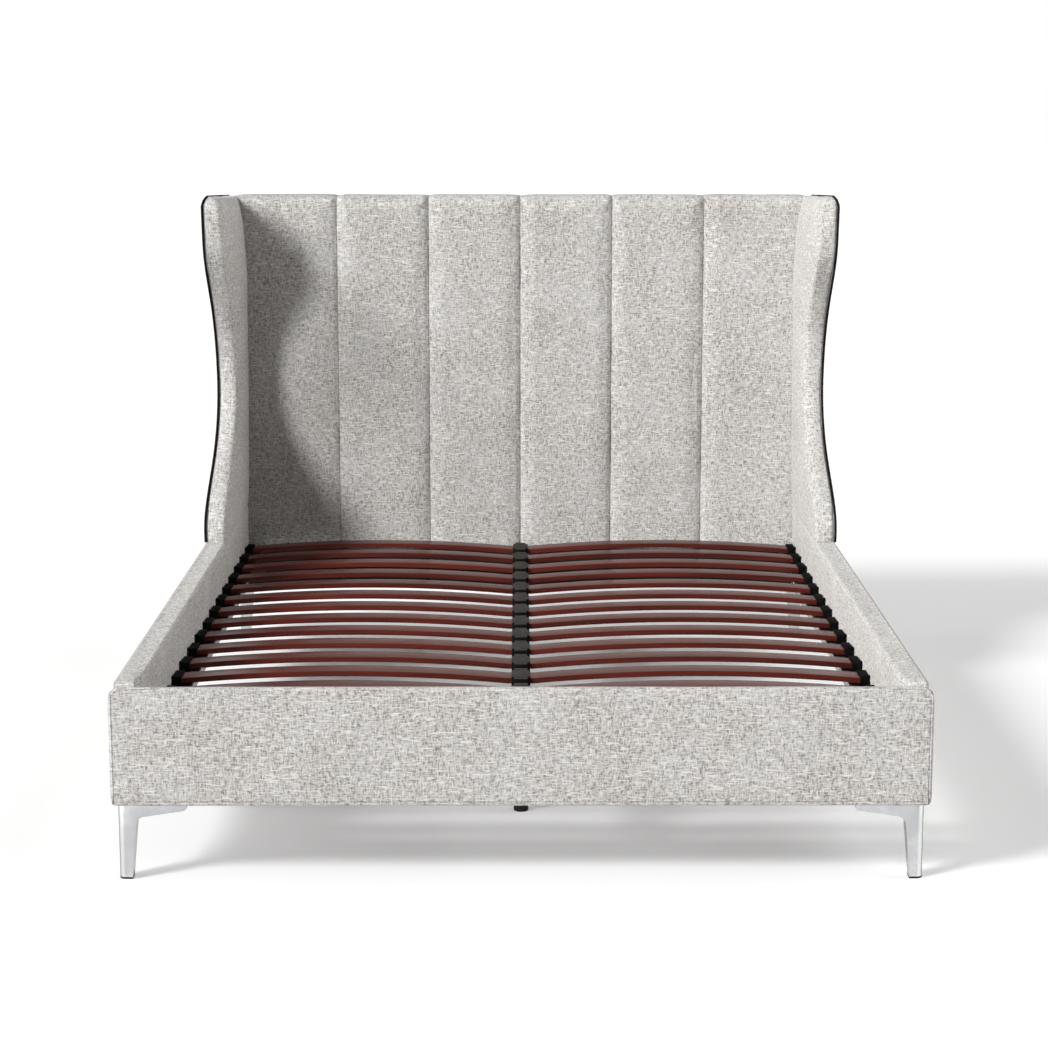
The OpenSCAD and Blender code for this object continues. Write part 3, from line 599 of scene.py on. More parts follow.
def satin_metal(name, look):
    """Polished cast aluminium with faint draw lines and finger haze, a painted highlight on the round edges and
    painted shade on the sides.
    """
    finish = Finish(name, Metallic=1.0)
    line = finish.speckle(40, 40, 900)
    haze = finish.speckle(16, 16, 16, detail=4)
    base = look.metal_colour
    colour = finish.tones(haze, (0.4, shade(base, 0.86)), (0.6, shade(base)))
    aside = abs(finish.facing()[0])
    # Painted highlight: faces turned partly sideways, on the round edges, are lightened towards near white.
    painted_edge_highlight = aside.ramp(0.10, 0.30) * (1 - aside.ramp(0.60, 0.78))
    colour = finish.blend(painted_edge_highlight * 0.55, colour, srgb(240, 240, 241))
    # Painted shade: faces turned almost fully sideways are darkened, a dark line along the outline.
    colour = finish.blend(aside.ramp(0.70, 0.86) * 0.7, colour, srgb(120, 121, 123))
    return finish.done(colour, line, 0.00012, 0.3, 0.17 + haze * 0.12 + line * 0.06)


def coated_steel(name, tone):
    """Powder-coated steel with fine orange peel and some dust on top."""
    finish = Finish(name, Specular_IOR_Level=0.5)
    peel = finish.speckle(900, 900, 900)
    dust = finish.speckle(9, 9, 9, detail=5)
    lying = finish.facing()[2].ramp(0.6, 1.0) * dust.ramp(0.35, 0.75) * 0.35
    colour = finish.tones(dust, (0.35, shade(tone, 0.8)), (0.65, tone))
    colour = finish.blend(lying, colour, srgb(120, 116, 112))
    return finish.done(colour, peel, 0.00025, 0.35, 0.42 + dust * 0.16)


def moulded_plastic(name, tone, rough=0.5, shine=0.15, painted_front_shade=0.0):
    """Moulded plastic with a fine spark texture, scuffs and perhaps painted shade that darkens the faces
    towards the foot.
    """
    finish = Finish(name, Specular_IOR_Level=shine)
    spark = finish.speckle(1500, 1500, 1500)
    scuff = finish.speckle(60, 25, 60, detail=4)
    colour = finish.tones(scuff, (0.45, tone), (0.72, shade(tone, 1.35, 0.004)))
    if painted_front_shade:
        # Painted shade: faces towards the foot are darkened to near black.
        front = (finish.facing()[1] * -1).ramp(0.5, 0.8)
        colour = finish.blend(front * painted_front_shade, colour, srgb(4, 4, 4))
    return finish.done(colour, spark, 0.00015, 0.4, rough + scuff * 0.15)


def zinc_plate(name):
    """Bright zinc plating with a mottled passivation."""
    finish = Finish(name, Metallic=1.0)
    spangle = finish.speckle(240, 240, 240, detail=3)
    colour = finish.tones(spangle, (0.35, srgb(150, 152, 150)), (0.65, srgb(196, 196, 186)))
    return finish.done(colour, spangle, 0.0001, 0.3, 0.28 + spangle * 0.2)


def sawn_timber(name, light, dark):
    """Planed pine or poplar ply, with grain along the longest way."""
    finish = Finish(name, Specular_IOR_Level=0.3)
    grain = finish.speckle(6, 60, 90, detail=5, roughness=0.65)
    pore = finish.speckle(60, 500, 700)
    colour = finish.tones(grain * 0.8 + pore * 0.2, (0.38, dark), (0.62, light))
    return finish.done(colour, grain * 0.6 + pore, 0.0004, 0.4, 0.66 + pore * 0.15)


# Sizes and colours that a user would change


def number(name, text, default, low, high, unit="LENGTH"):
    """A length, or another number, to set."""
    return bpy.props.FloatProperty(name=name, description=text, default=default, min=low, max=high, unit=unit)


def tint(name, text, *shown):
    """A colour to set, from its 0 to 255 values."""
    return bpy.props.FloatVectorProperty(name=name, description=text, subtype="COLOR", size=3,
                                         default=srgb(*shown)[:3], min=0, max=1)


class BedPadding(bpy.types.PropertyGroup):
    """Shape of the upholstery"""

    draw: number("Channel draw", "How deep the seams between the channels are drawn in", 0.010, 0.004, 0.018)
    shoulder: number("Channel shoulder", "Width over which a channel rolls into its seam", 0.014, 0.006, 0.04)
    swell: number("Swell", "Most that the filling pushes the cloth out", 0.003, 0.0, 0.01)
    pressure: number("Filling pressure", "Pressure of the filling in the cloth run", 4.0, 0.0, 10.0, "NONE")
    piping: number("Piping radius", "Radius of the black piping", 0.0032, 0.002, 0.006)


class BedColours(bpy.types.PropertyGroup):
    """Colours of the bed"""

    fabric_light: tint("Fabric, light yarn", "Light yarn of the tweed", 196, 193, 189)
    fabric_dark: tint("Fabric, dark yarn", "Dark yarn of the tweed", 113, 111, 108)
    piping_colour: tint("Piping", "Colour of the piping", 20, 19, 20)
    slat_colour: tint("Slats", "Lacquer of the slats", 70, 25, 18)
    metal_colour: tint("Corner legs", "Metal of the corner legs", 200, 201, 203)


# Curves of the wing, as depth in front of the headboard's face and height above the rail

WING_FOOT, WING_WAIST, WING_PEAK = 0.587, 0.187, 0.363
WING_WAIST_AT, WING_BASE = 0.388, 0.020
WING_RISE, WING_CORNER = 0.016, 0.030
WING_TOP = HEAD_TOP - RAIL_TOP + WING_RISE
WING_PEAK_AT = WING_TOP - 0.110
WING_THICK = RAIL_OUT - RAIL_IN
WING_REACH, WING_CROWD, WING_BROAD, WING_NOSE = 0.003, 0.006, 0.008, 0.007
WING_ROLL, WING_ROLL_OVER, WING_LAID = 0.027, 0.075, 0.011
WING_FALL = 0.022
WING_PANEL = 0.0045
WING_VOXEL = 0.0066
LEAN = math.radians(1.28)


def bezier(p, u):
    """A point on a cubic curve."""
    return (1 - u) ** 3 * p[0] + 3 * (1 - u) ** 2 * u * p[1] + 3 * (1 - u) * u * u * p[2] + u ** 3 * p[3]


def pulled(low, high, low_pull, high_pull):
    """Curve points between two heights, with each end's share of the way."""
    return (low, low + (high - low) * low_pull, high - (high - low) * high_pull, high)


def wing_edge(steps):
    """The wing's front edge from the rail up to the flat of its top."""
    lower = pulled(WING_BASE, WING_WAIST_AT, 0.30, 0.61)
    upper = pulled(WING_WAIST_AT, WING_PEAK_AT, 0.55, 0.31)
    line = [(WING_FOOT, -0.010), (WING_FOOT, WING_BASE * 0.5)]
    for start, end, heights, first in ((WING_FOOT, WING_WAIST, lower, 0), (WING_WAIST, WING_PEAK, upper, 1)):
        for i in range(first, steps + 1):
            line.append((bezier((start, start, end, end), i / steps), bezier(heights, i / steps)))
    hub_d, hub_h = WING_PEAK - WING_CORNER, WING_TOP - WING_CORNER
    return line + [(hub_d + WING_CORNER * math.cos(a), hub_h + WING_CORNER * math.sin(a))
                   for a in quarter(max(4, steps // 3))]


def wing_drop(d, h):
    """Height lost towards the back, because the wing's top slopes down to the headboard."""
    return WING_FALL * (h / WING_TOP) ** 4 * (WING_PEAK - d) / (WING_PEAK + HEAD_DEEP)


def leaned(points):
    """Points of the right wing, leaning out about the rail's outer top edge."""
    points = np.asarray(points, float)
    x = points[..., 0] - RAIL_OUT
    z = points[..., 2] - RAIL_TOP
    turned = points.copy()
    turned[..., 0] = RAIL_OUT + x * math.cos(LEAN) + z * math.sin(LEAN)
    turned[..., 2] = RAIL_TOP - x * math.sin(LEAN) + z * math.cos(LEAN)
    return turned


def wing_line(margin, steps):
    """The wing's edge and top, moved inwards by a margin square to itself, with its direction."""
    flat = WING_PEAK - WING_CORNER
    line = [(d, h) for d, h in wing_edge(steps)[1:] if h > 0]
    line += [(flat - (flat + HEAD_DEEP) * i / 24, WING_TOP) for i in range(1, 25)]
    line = np.array([(WING_FOOT, 0.0)] + [(d, h - wing_drop(d, h)) for d, h in line])
    step = np.gradient(line, axis=0)
    step /= np.linalg.norm(step, axis=1)[:, None]
    step[0] = (0, 1)
    step[-1] = (-1, -step[-2][1] / step[-2][0])
    return line + margin * np.stack([-step[:, 1], step[:, 0]], axis=1), step


def wing_recede(h):
    """How far the wing's inner face stands back at a height, from its lean and from the roll of its top."""
    t = unit(1 - (WING_TOP - h) / WING_ROLL_OVER)
    return WING_ROLL * (1 - math.sqrt(1 - t * t)) + WING_LAID * unit(h / WING_TOP) ** 8


def wing_ring(d, h):
    """One level of the padded wing.

    It runs along the outer skin to the front, round the long nose and back along the crowned inner face. Beside
    the headboard it presses on the outer channel, and behind the board it fills up to the back lining.
    """
    back = wing_recede(h)
    roll = back - WING_LAID * (h / WING_TOP) ** 8
    face = WING_THICK + WING_BROAD - roll
    behind = WING_THICK + math.tan(LEAN) * h
    beside = behind - back + WING_REACH + WING_CROWD * unit(h / 0.5)
    board = 0.0003 - (BOARD_FACE - HEAD_FACE)
    skin, flat = 0.003, face - 0.005
    front, near = d - WING_NOSE, 0.025
    ring = [(skin, -HEAD_DEEP + 0.004), (skin, -HEAD_DEEP / 2), (skin, 0.0)]
    ring += [(skin, d * i / 8) for i in range(1, 8)]
    ring += [(skin, d - 0.005), (skin + 0.001, d - 0.0015), (skin + 0.003, d)]
    ring += [(flat + (face - flat) * math.sin(a), d - WING_NOSE * (1 - math.cos(a))) for a in quarter(10)]
    ring += [(face + (beside - face) * t + 0.004 * math.sin(math.pi * t), front + (near - front) * t)
             for t in (i / 10 for i in range(1, 11))]
    ring += [(beside, 0.0), (beside, -0.0247), (beside, board)]
    ring += [(behind, board), (behind, -HEAD_DEEP / 2), (behind, -HEAD_DEEP + 0.004)]
    ring += [(behind - 0.004, -HEAD_DEEP), (skin + 0.004, -HEAD_DEEP)]
    return [(RAIL_OUT - a, HEAD_FACE - b, RAIL_TOP + h - wing_drop(b, h)) for a, b in ring]


def round_cord(path, normal, radius, around):
    """Rings of a round cord along a path, across the fixed direction given."""
    path = np.asarray(path, float)
    along = np.gradient(path, axis=0)
    along /= np.linalg.norm(along, axis=1)[:, None]
    across = np.cross(along, normal)
    across /= np.linalg.norm(across, axis=1)[:, None]
    beside = np.cross(across, along)
    turns = [2 * math.pi * k / around for k in range(around)]
    return [[p + radius * (math.cos(a) * s + math.sin(a) * b) for a in turns]
            for p, s, b in zip(path, across, beside)]


def round_section(x0, x1, low, high, radii, fine=8, between=(14, 4)):
    """Points round a section with round corners, with steps between them along its upright and level sides.

    The radii go x1 top, x0 top, x0 bottom, x1 bottom.
    """
    corners = []
    for radius, start in zip(radii, (0, 90, 180, 270)):
        cx = x1 - radius if start in (0, 270) else x0 + radius
        cz = high - radius if start < 180 else low + radius
        turns = [math.radians(start + 90 * i / fine) for i in range(fine + 1)]
        corners.append([(cx + radius * math.cos(a), cz + radius * math.sin(a)) for a in turns])
    ring = []
    for here, after in zip(corners, corners[1:] + corners[:1]):
        ring += here
        (ax, az), (bx, bz) = here[-1], after[0]
        steps = between[0] if abs(bz - az) > abs(bx - ax) else between[1]
        ring += [(ax + (bx - ax) * i / steps, az + (bz - az) * i / steps) for i in range(1, steps)]
    return ring


def foot_fall(y, below):
    """How far the foot rail's padding slopes down at a place across its top, fading 50 mm below the top."""
    return FOOT_FALL * unit((y - FOOT_FRONT) / (FOOT_BACK - FOOT_FRONT)) * unit(1 - below / 0.05)


class BED_OT_channels(bpy.types.Operator):
    """Pads the headboard's face and top with six upright channels"""

    bl_idname = "bed.channels"
    bl_label = "Headboard channels"

    def stations(self):
        """Outer and inner points of a channel's side outline, from the foot of the face to the back of the top.

        Each outer point has its place and the direction in which its cloth faces.
        """
        r, low, turn, lip = 0.020, 0.006, 0.0084, 0.008
        high = HEAD_TOP - r
        outer, inner = [], []
        for i, a in enumerate(quarter(3)):
            outer.append((HEAD_FACE + low - low * math.sin(a), RAIL_LOW + low - low * math.cos(a),
                          -math.sin(a), -math.cos(a)))
            inner.append((BOARD_FACE, RAIL_LOW + low * i / 3))
        for i in range(1, 128):
            z = RAIL_LOW + low + (high - RAIL_LOW - low) * i / 128
            outer.append((HEAD_FACE, z, -1, 0))
            inner.append((BOARD_FACE, z))
        for i, a in enumerate(quarter(8)):
            outer.append((HEAD_FACE + r - r * math.cos(a), high + r * math.sin(a), -math.cos(a), math.sin(a)))
            inner.append((BOARD_FACE, high + (FRAME_TOP - high) * i / 8))
        y0, y1 = HEAD_FACE + r, HEAD_BACK - turn
        outer += [(y0 + (y1 - y0) * i / 10, HEAD_TOP, 0, 1) for i in range(1, 11)]
        outer += [(y1 + turn * math.sin(a), HEAD_TOP - turn + turn * math.cos(a), math.sin(a), math.cos(a))
                  for a in quarter(4)[1:]]
        inner += [(BOARD_FACE + (HEAD_BACK - lip - BOARD_FACE) * i / 14, FRAME_TOP) for i in range(1, 15)]
        outer.append((HEAD_BACK, FRAME_TOP, 1, 0))
        inner.append((HEAD_BACK - lip + 0.001, FRAME_TOP))
        return np.array(outer), np.array(inner)

    def execute(self, context):
        """Models one channel, copies it to the six places and swells each by its own cloth run."""
        look = context.scene.bed_padding
        low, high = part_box("headboard_channel_1")
        half = (high.x - low.x) / 2
        outer, inner = self.stations()
        last = len(outer) - 1
        clear_selection()
        bpy.ops.mesh.primitive_grid_add(x_subdivisions=40, y_subdivisions=last, size=1)
        first = named("headboard_channel")
        drawn_out(first, (0, 0, 1))
        co = points_of(first)
        across = np.sin(co[:, 0] * math.pi)
        across = np.sign(across) * np.abs(across) ** 0.8
        level = np.rint((co[:, 1] + 0.5) * last).astype(int)
        y, z, face_y, face_z = outer[level].T
        skin = co[:, 2] > 0.5
        from_seam = (1 - np.abs(across)) * half
        roll = np.clip(1 - from_seam / look.shoulder, 0, 1)
        sunk = look.draw * roll ** 1.8 * np.clip((HEAD_BACK - y) / 0.1, 0.25, 1)
        falling = 0.003 * np.clip((y - HEAD_FACE) / HEAD_DEEP, 0, 1)
        shaped = np.empty_like(co)
        shaped[:, 0] = across * half
        shaped[:, 1] = np.where(skin, y - face_y * sunk, inner[level, 0])
        shaped[:, 2] = np.where(skin, z - face_z * sunk * 0.5 - falling, inner[level, 1])
        put_points(first, shaped)
        face_outwards(first)
        held = ~skin | (np.abs(across) > 0.985) | (level < 4) | (level > last - 3)
        free = np.where(held, 0.0, 1.0)
        cloth = tweed("channel_tweed", context.scene.bed_colours, black_below=LEDGE_TOP)
        for i in range(CHANNELS):
            node = f"headboard_channel_{i + 1}"
            low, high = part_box(node)
            channel = copied(first, f"padded_channel_{i + 1}", ((low.x + high.x) / 2, 0, 0))
            if i in (0, CHANNELS - 1):
                side = -1 if i == 0 else 1
                outside = np.where(across * side > 0, 1.0, 0.0)
                wide = points_of(channel)
                wide[:, 1] += np.where(skin, face_y * sunk * outside, 0)
                wide[:, 2] += np.where(skin, face_z * sunk * outside * 0.45, 0)
                reach = np.array([wing_recede(h) for h in wide[:, 2] - RAIL_TOP])
                reach += RAIL_IN + PAD_FOLLOW - HEAD_SIDE
                wide[:, 0] += side * outside * reach * np.clip(np.abs(across) * 2 - 1, 0, 1)
                put_points(channel, wide)
            uneven(channel, 0.045, 0.0016, 5.0 * i, free * np.clip(1.2 - from_seam / 0.05, 0.15, 1))
            uneven(channel, 0.16, 0.0022, 3.0 * i, free)
            swelled(channel, look.pressure, look.swell, held)
            smooth(channel, 50)
            finish_piece(channel, "bed", "fabric", cloth, node)
        bpy.data.objects.remove(first)
        return {"FINISHED"}


class BED_OT_headboard_back(bpy.types.Operator):
    """Covers the headboard's back with a lined panel, and finishes its board and timber frame"""

    bl_idname = "bed.headboard_back"
    bl_label = "Headboard back"

    def execute(self, context):
        """Eases the back panel, widens its ends to the wings and finishes what it covers."""
        panel = eased_copy("back_lining", "headboard_back_panel", 0.0018, 3)
        co = points_of(panel)
        reach = np.abs(co[:, 0])
        half = reach.max()
        co[:, 0] += np.sign(co[:, 0]) * np.clip(reach / half * 20 - 19, 0, 1) * (RAIL_IN + 0.002 - half)
        put_points(panel, co)
        lining = plain_cloth("back_lining_cloth", srgb(150, 148, 146))
        finish_piece(panel, "bed", "back_fabric", lining, "headboard_back_panel")
        ply = sawn_timber("poplar_ply", srgb(202, 172, 128), srgb(158, 122, 82))
        pine = sawn_timber("planed_pine", srgb(214, 182, 134), srgb(176, 134, 88))
        dress(ply, "headboard_board", "wing_core_left", "wing_core_right")
        dress(pine, "headboard_frame", "side_rail_board_left", "side_rail_board_right", "foot_rail_board")
        return {"FINISHED"}


class BED_OT_wings(bpy.types.Operator):
    """Makes the two padded wings with their outer panels and black piping"""

    bl_idname = "bed.wings"
    bl_label = "Wings"

    def execute(self, context):
        """Models the right wing and mirrors it to the left."""
        look = context.scene.bed_padding
        colours = context.scene.bed_colours
        body = lofted("wing_body", [leaned(wing_ring(d, h)) for d, h in wing_edge(44)])
        apply_new(body, "REMESH", mode="VOXEL", voxel_size=WING_VOXEL, use_smooth_shade=True)
        apply_new(body, "SMOOTH", factor=0.5, iterations=2)
        x, y, z = points_of(body).T
        outer = x > RAIL_OUT + (z - RAIL_TOP) * math.tan(LEAN) - 0.006
        held = (z < RAIL_TOP + 0.012) | (y > HEAD_FACE + 0.02) | outer
        filled(body, 0.12, 0.0022, 9.0, 0.0, look.pressure, look.swell, held)

        line, _ = wing_line(0.006, 40)
        outline = [(-HEAD_DEEP, 0.0)] + [(max(-HEAD_DEEP, d), max(0.0, h)) for d, h in line]
        flat = leaned([(RAIL_OUT - WING_PANEL, HEAD_FACE - d, RAIL_TOP + h) for d, h in outline])
        out = (WING_PANEL * math.cos(LEAN), 0, -WING_PANEL * math.sin(LEAN))
        panel = plate("wing_panel", flat, out, 0.0016)

        path = []
        for (d, h), along in zip(*wing_line(0.001, 60)):
            over = along[0] ** 2 * unit((h - WING_PEAK_AT) / 0.08)
            path.append((RAIL_OUT - 0.0005 - 0.011 * over, HEAD_FACE - d, RAIL_TOP + h + 0.0008 * over))
        cord = lofted("wing_cord", round_cord(leaned(path), (1, 0, 0), look.piping, 12))
        smooth(cord)

        face_cloth = tweed("wing_tweed", colours)
        # tone 0.97 darkens the outer panels' tweed a little, painted shade.
        side_cloth = tweed("wing_panel_tweed", colours, 0.97)
        black = piping_cloth("black_piping", colours)
        both_sides((body, "wing", "fabric", face_cloth, ("wing_pad", "wing_core"), 0.9),
                   (panel, "wing_outer_panel", "fabric", side_cloth, ("wing_panel",), None),
                   (cord, "wing_piping_cord", "piping", black, ("wing_piping",), None))
        return {"FINISHED"}


class BED_OT_side_rails(bpy.types.Operator):
    """Makes the two upholstered side rails with a seam along their outer top edge"""

    bl_idname = "bed.side_rails"
    bl_label = "Side rails"

    def execute(self, context):
        """Models the right rail along the bed, with its inner side proud, and mirrors it to the left."""
        section = np.array(round_section(RAIL_IN, RAIL_OUT, RAIL_LOW, RAIL_TOP, (0.006, 0.008, 0.005, 0.005)))
        middle = section.mean(axis=0)
        run = RAIL_BACK - FOOT_BACK
        levels = np.concatenate([[-0.002, 0, 0.004, 0.008], np.linspace(0.02, 0.98, 150) * run,
                                 run - np.array([0.008, 0.004, 0.0015, 0])])
        rings = []
        for s in levels:
            ease = 0.0015 * max(0, 1 - max(0, min(s, run - s)) / 0.004) ** 2
            ring = section - np.sign(section - middle) * ease
            full = min(1, s / 0.1) * min(1, max(0, (run - s) / 0.55))
            inner = np.clip((middle[0] - ring[:, 0]) / 0.015, 0, 1) * np.clip((ring[:, 1] - 0.29) / 0.09, 0, 1)
            ring[:, 0] -= WING_BROAD * full * inner
            rings.append([(x, FOOT_BACK + s, z) for x, z in ring])
        rail = lofted("side_rail", rings)
        x, y, z = points_of(rail).T
        held = (y < FOOT_BACK + 0.006) | (y > RAIL_BACK - 0.006) | (z < RAIL_LOW + 0.006)
        held |= (x > RAIL_OUT - 0.012) & (z > RAIL_TOP - 0.010)
        filled(rail, 0.14, 0.0020, 21.0, 0.2, context.scene.bed_padding.pressure * 0.6, RAIL_SWELL, held)

        def seam(x, y, z):
            """A line along the outer top edge."""
            return (abs(x) - (RAIL_OUT - 0.0035)).line(0.003) * z.over(RAIL_TOP - 0.02) * 0.5

        # tone 1.03 lightens this tweed, painted light. The seam's line is darkened as painted shade in its
        # crease.
        cloth = tweed("side_rail_tweed", context.scene.bed_colours, 1.03, seam)
        both_sides((rail, "side_rail", "fabric", cloth, ("side_rail_cover",), 0.9))
        return {"FINISHED"}


class BED_OT_foot_rail(bpy.types.Operator):
    """Makes the upholstered foot rail with its rounded ends and self-fabric welts"""

    bl_idname = "bed.foot_rail"
    bl_label = "Foot rail"

    def execute(self, context):
        """Models the rail across the bed, rounded to its ends, and a welt round each end."""
        top_r, low_r, end_r = 0.023, 0.011, 0.007

        def rounding(reach, r):
            """How far a round corner draws in this near to the rail's end."""
            return r - math.sqrt(max(0, r ** 2 - max(0.0, reach - (FOOT_HALF - r)) ** 2))

        half = list(np.linspace(0, FOOT_HALF - top_r, 76))
        half += [FOOT_HALF - top_r + top_r * math.sin(a) for a in np.linspace(0, math.pi / 2, 16)[1:]]
        rings = []
        for x in [-h for h in reversed(half)] + half[1:]:
            high = RAIL_TOP - rounding(abs(x), top_r)
            low = RAIL_LOW + rounding(abs(x), low_r)
            inset = rounding(abs(x), end_r) * 0.9
            radii = (0.014, 0.009, 0.005, 0.005)
            section = round_section(FOOT_FRONT + inset, FOOT_BACK - inset, low, high, radii)
            rings.append([(x, y, z - foot_fall(y, high - z)) for y, z in section])
        rail = lofted("foot_rail", rings)
        x, y, z = points_of(rail).T
        held = (z < RAIL_LOW + 0.006) | (np.abs(x) > FOOT_HALF - 0.014) | (z > RAIL_TOP - 0.016)
        filled(rail, 0.15, 0.0022, 41.0, 0.15, context.scene.bed_padding.pressure * 0.6, RAIL_SWELL, held)

        def seam(x, y, z):
            """A line beside each welt and a fainter one above the hem."""
            end = (abs(x) - (FOOT_HALF - 0.0065)).line(0.0028) * (y * -1).over(-FOOT_FRONT - 0.012)
            return end.math("MAXIMUM", (z - (RAIL_LOW + 0.009)).line(0.0022) * 0.4)

        # tone 0.84 darkens this tweed, painted shade. The lines beside the welts and above the hem are darkened
        # as painted crease shade.
        cloth = tweed("foot_rail_tweed", context.scene.bed_colours, 0.84, seam)
        finish_piece(rail, "bed", "fabric", cloth, "foot_rail_cover")

        hub_x, hub_z = RAIL_OUT - top_r, RAIL_TOP - 0.002 - top_r
        path = [(hub_x + top_r, z) for z in np.linspace(RAIL_LOW + 0.014, hub_z, 30)]
        path += [(hub_x + top_r * math.cos(a), hub_z + top_r * math.sin(a))
                 for a in np.linspace(0, math.pi / 2, 14)[1:]]
        path += [(x, hub_z + top_r) for x in np.linspace(hub_x, hub_x - 0.058, 10)[1:]]
        path = [(x, FOOT_FRONT + 0.0012, z) for x, z in path]
        welt = lofted("foot_rail_welt", round_cord(path, (0, 1, 0), 0.0019, 8))
        smooth(welt)
        pale = tweed("welt_tweed", context.scene.bed_colours)
        both_sides((welt, "foot_rail_welt_cord", "fabric", pale, ("foot_rail_welt",), None))
        return {"FINISHED"}


class BED_OT_slats(bpy.types.Operator):
    """Makes the fifteen rows of bowed slats"""

    bl_idname = "bed.slats"
    bl_label = "Slats"

    def execute(self, context):
        """Models one pair of slats and copies it to each row."""
        low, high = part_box("slat_row_01")
        wide, end = high.y - low.y, high.x
        start, mouth, cap = 0.0083, 0.0283, 0.7334
        section = round_section(-wide / 2, wide / 2, 0, SLAT_THICK, (SLAT_EDGE,) * 4, fine=3, between=(1, 1))
        places = [start, start + SLAT_EDGE, start + 0.01, mouth]
        places += [*np.linspace(mouth, cap, 30)[1:], end - SLAT_EDGE, end]
        middle = SLAT_THICK / 2
        rings = []
        for x in places:
            u = unit((x - mouth) / (cap - mouth))
            base = low.z + SLAT_RISE * 4 * u * (1 - u) + middle
            tight = 0.94 if x in (start, end) else 1.0
            rings.append([(x, y * tight, base + (z - middle) * tight) for y, z in section])
        right = lofted("slat_right", rings)
        pair = joined("slat_pair", [right, mirrored(right, "slat_left")])
        smooth(pair, 40)
        wood = lacquered_slat("slat_lacquer", context.scene.bed_colours)
        for i in range(1, SLAT_ROWS + 1):
            low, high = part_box(f"slat_row_{i:02d}")
            row = copied(pair, f"slats_{i:02d}", (0, (low.y + high.y) / 2, 0))
            finish_piece(row, "bed", "slat_wood", wood, f"slat_row_{i:02d}")
        bpy.data.objects.remove(pair)
        return {"FINISHED"}


def eased_piece(name, node, width, slot, finish, body="bed", segments=2):
    """A CAD node's eased copy, finished, on its body and in the node's place."""
    finish_piece(eased_copy(name, node, width, segments), body, slot, finish, node)


class BED_OT_slat_holders(bpy.types.Operator):
    """Makes the moulded holders of the slats with eased edges"""

    bl_idname = "bed.slat_holders"
    bl_label = "Slat holders"

    def execute(self, context):
        """Eases the CAD holders' edges and narrows the middle ones."""
        black = moulded_plastic("holder_plastic", srgb(6, 6, 6), 0.7, 0.03)
        # The last value, 0.9, darkens the middle holders' faces towards the foot as painted shade.
        grey = moulded_plastic("middle_holder_plastic", srgb(48, 46, 44), 0.6, 0.05, 0.9)
        for side in ("left", "right"):
            eased_piece(f"caps_{side}", f"slat_caps_{side}", 0.0008, "plastic", black)
        middle = eased_copy("middle_holders", "slat_middle_holders", 0.0012)
        put_points(middle, points_of(middle) * (MIDDLE_SHARE, 1, 1))
        finish_piece(middle, "bed", "plastic", grey, "slat_middle_holders")
        return {"FINISHED"}


class BED_OT_steelwork(bpy.types.Operator):
    """Finishes the ledges, the beam and its hangers, the brackets and the bolts"""

    bl_idname = "bed.steelwork"
    bl_label = "Steelwork"

    def execute(self, context):
        """Eases the steel parts' edges and coats them."""
        steel = coated_steel("ledge_coating", srgb(22, 20, 22))
        zinc = zinc_plate("bolt_zinc")
        for node, width in (("slat_ledge_left", 0.0010), ("slat_ledge_right", 0.0010), ("centre_beam", 0.0016),
                            ("beam_hangers", 0.0008), ("corner_brackets", 0.0008)):
            eased_piece(f"{node}_coated", node, width, "steel", steel)
        eased_piece("frame_bolts_plated", "frame_bolts", 0.0007, "zinc", zinc)
        return {"FINISHED"}


class BED_OT_corner_legs(bpy.types.Operator):
    """Makes the four polished corner legs and their pads"""

    bl_idname = "bed.corner_legs"
    bl_label = "Corner legs"

    def execute(self, context):
        """Eases the cast legs' edges and polishes them."""
        metal = satin_metal("polished_aluminium", context.scene.bed_colours)
        for corner in ("foot_left", "foot_right", "head_left", "head_right"):
            eased_piece(f"leg_{corner}", f"corner_leg_{corner}", 0.0016, "polished", metal, segments=3)
        rubber = moulded_plastic("pad_plastic", srgb(24, 24, 25))
        eased_piece("leg_pads", "corner_leg_pads", 0.0008, "plastic", rubber)
        return {"FINISHED"}


class BED_OT_centre_legs(bpy.types.Operator):
    """Makes the two centre legs with their levelling stems and glides"""

    bl_idname = "bed.centre_legs"
    bl_label = "Centre legs"

    def execute(self, context):
        """Eases each part of the legs and lets stems and glides ride on their bodies."""
        steel = coated_steel("leg_coating", srgb(34, 33, 35))
        zinc = zinc_plate("stem_zinc")
        rubber = moulded_plastic("glide_plastic", srgb(22, 22, 23), 0.55)
        for end in ("foot_end", "head_end"):
            leg, stem, pad = f"centre_leg_{end}", f"levelling_stem_{end}", f"glide_pad_{end}"
            eased_piece(f"{leg}_coated", leg, 0.0008, "steel", steel)
            eased_piece(f"{stem}_plated", stem, 0.0006, "zinc", zinc, f"stem_{end}")
            eased_piece(f"glide_{end}_moulded", pad, 0.0008, "plastic", rubber, f"glide_{end}")
        return {"FINISHED"}


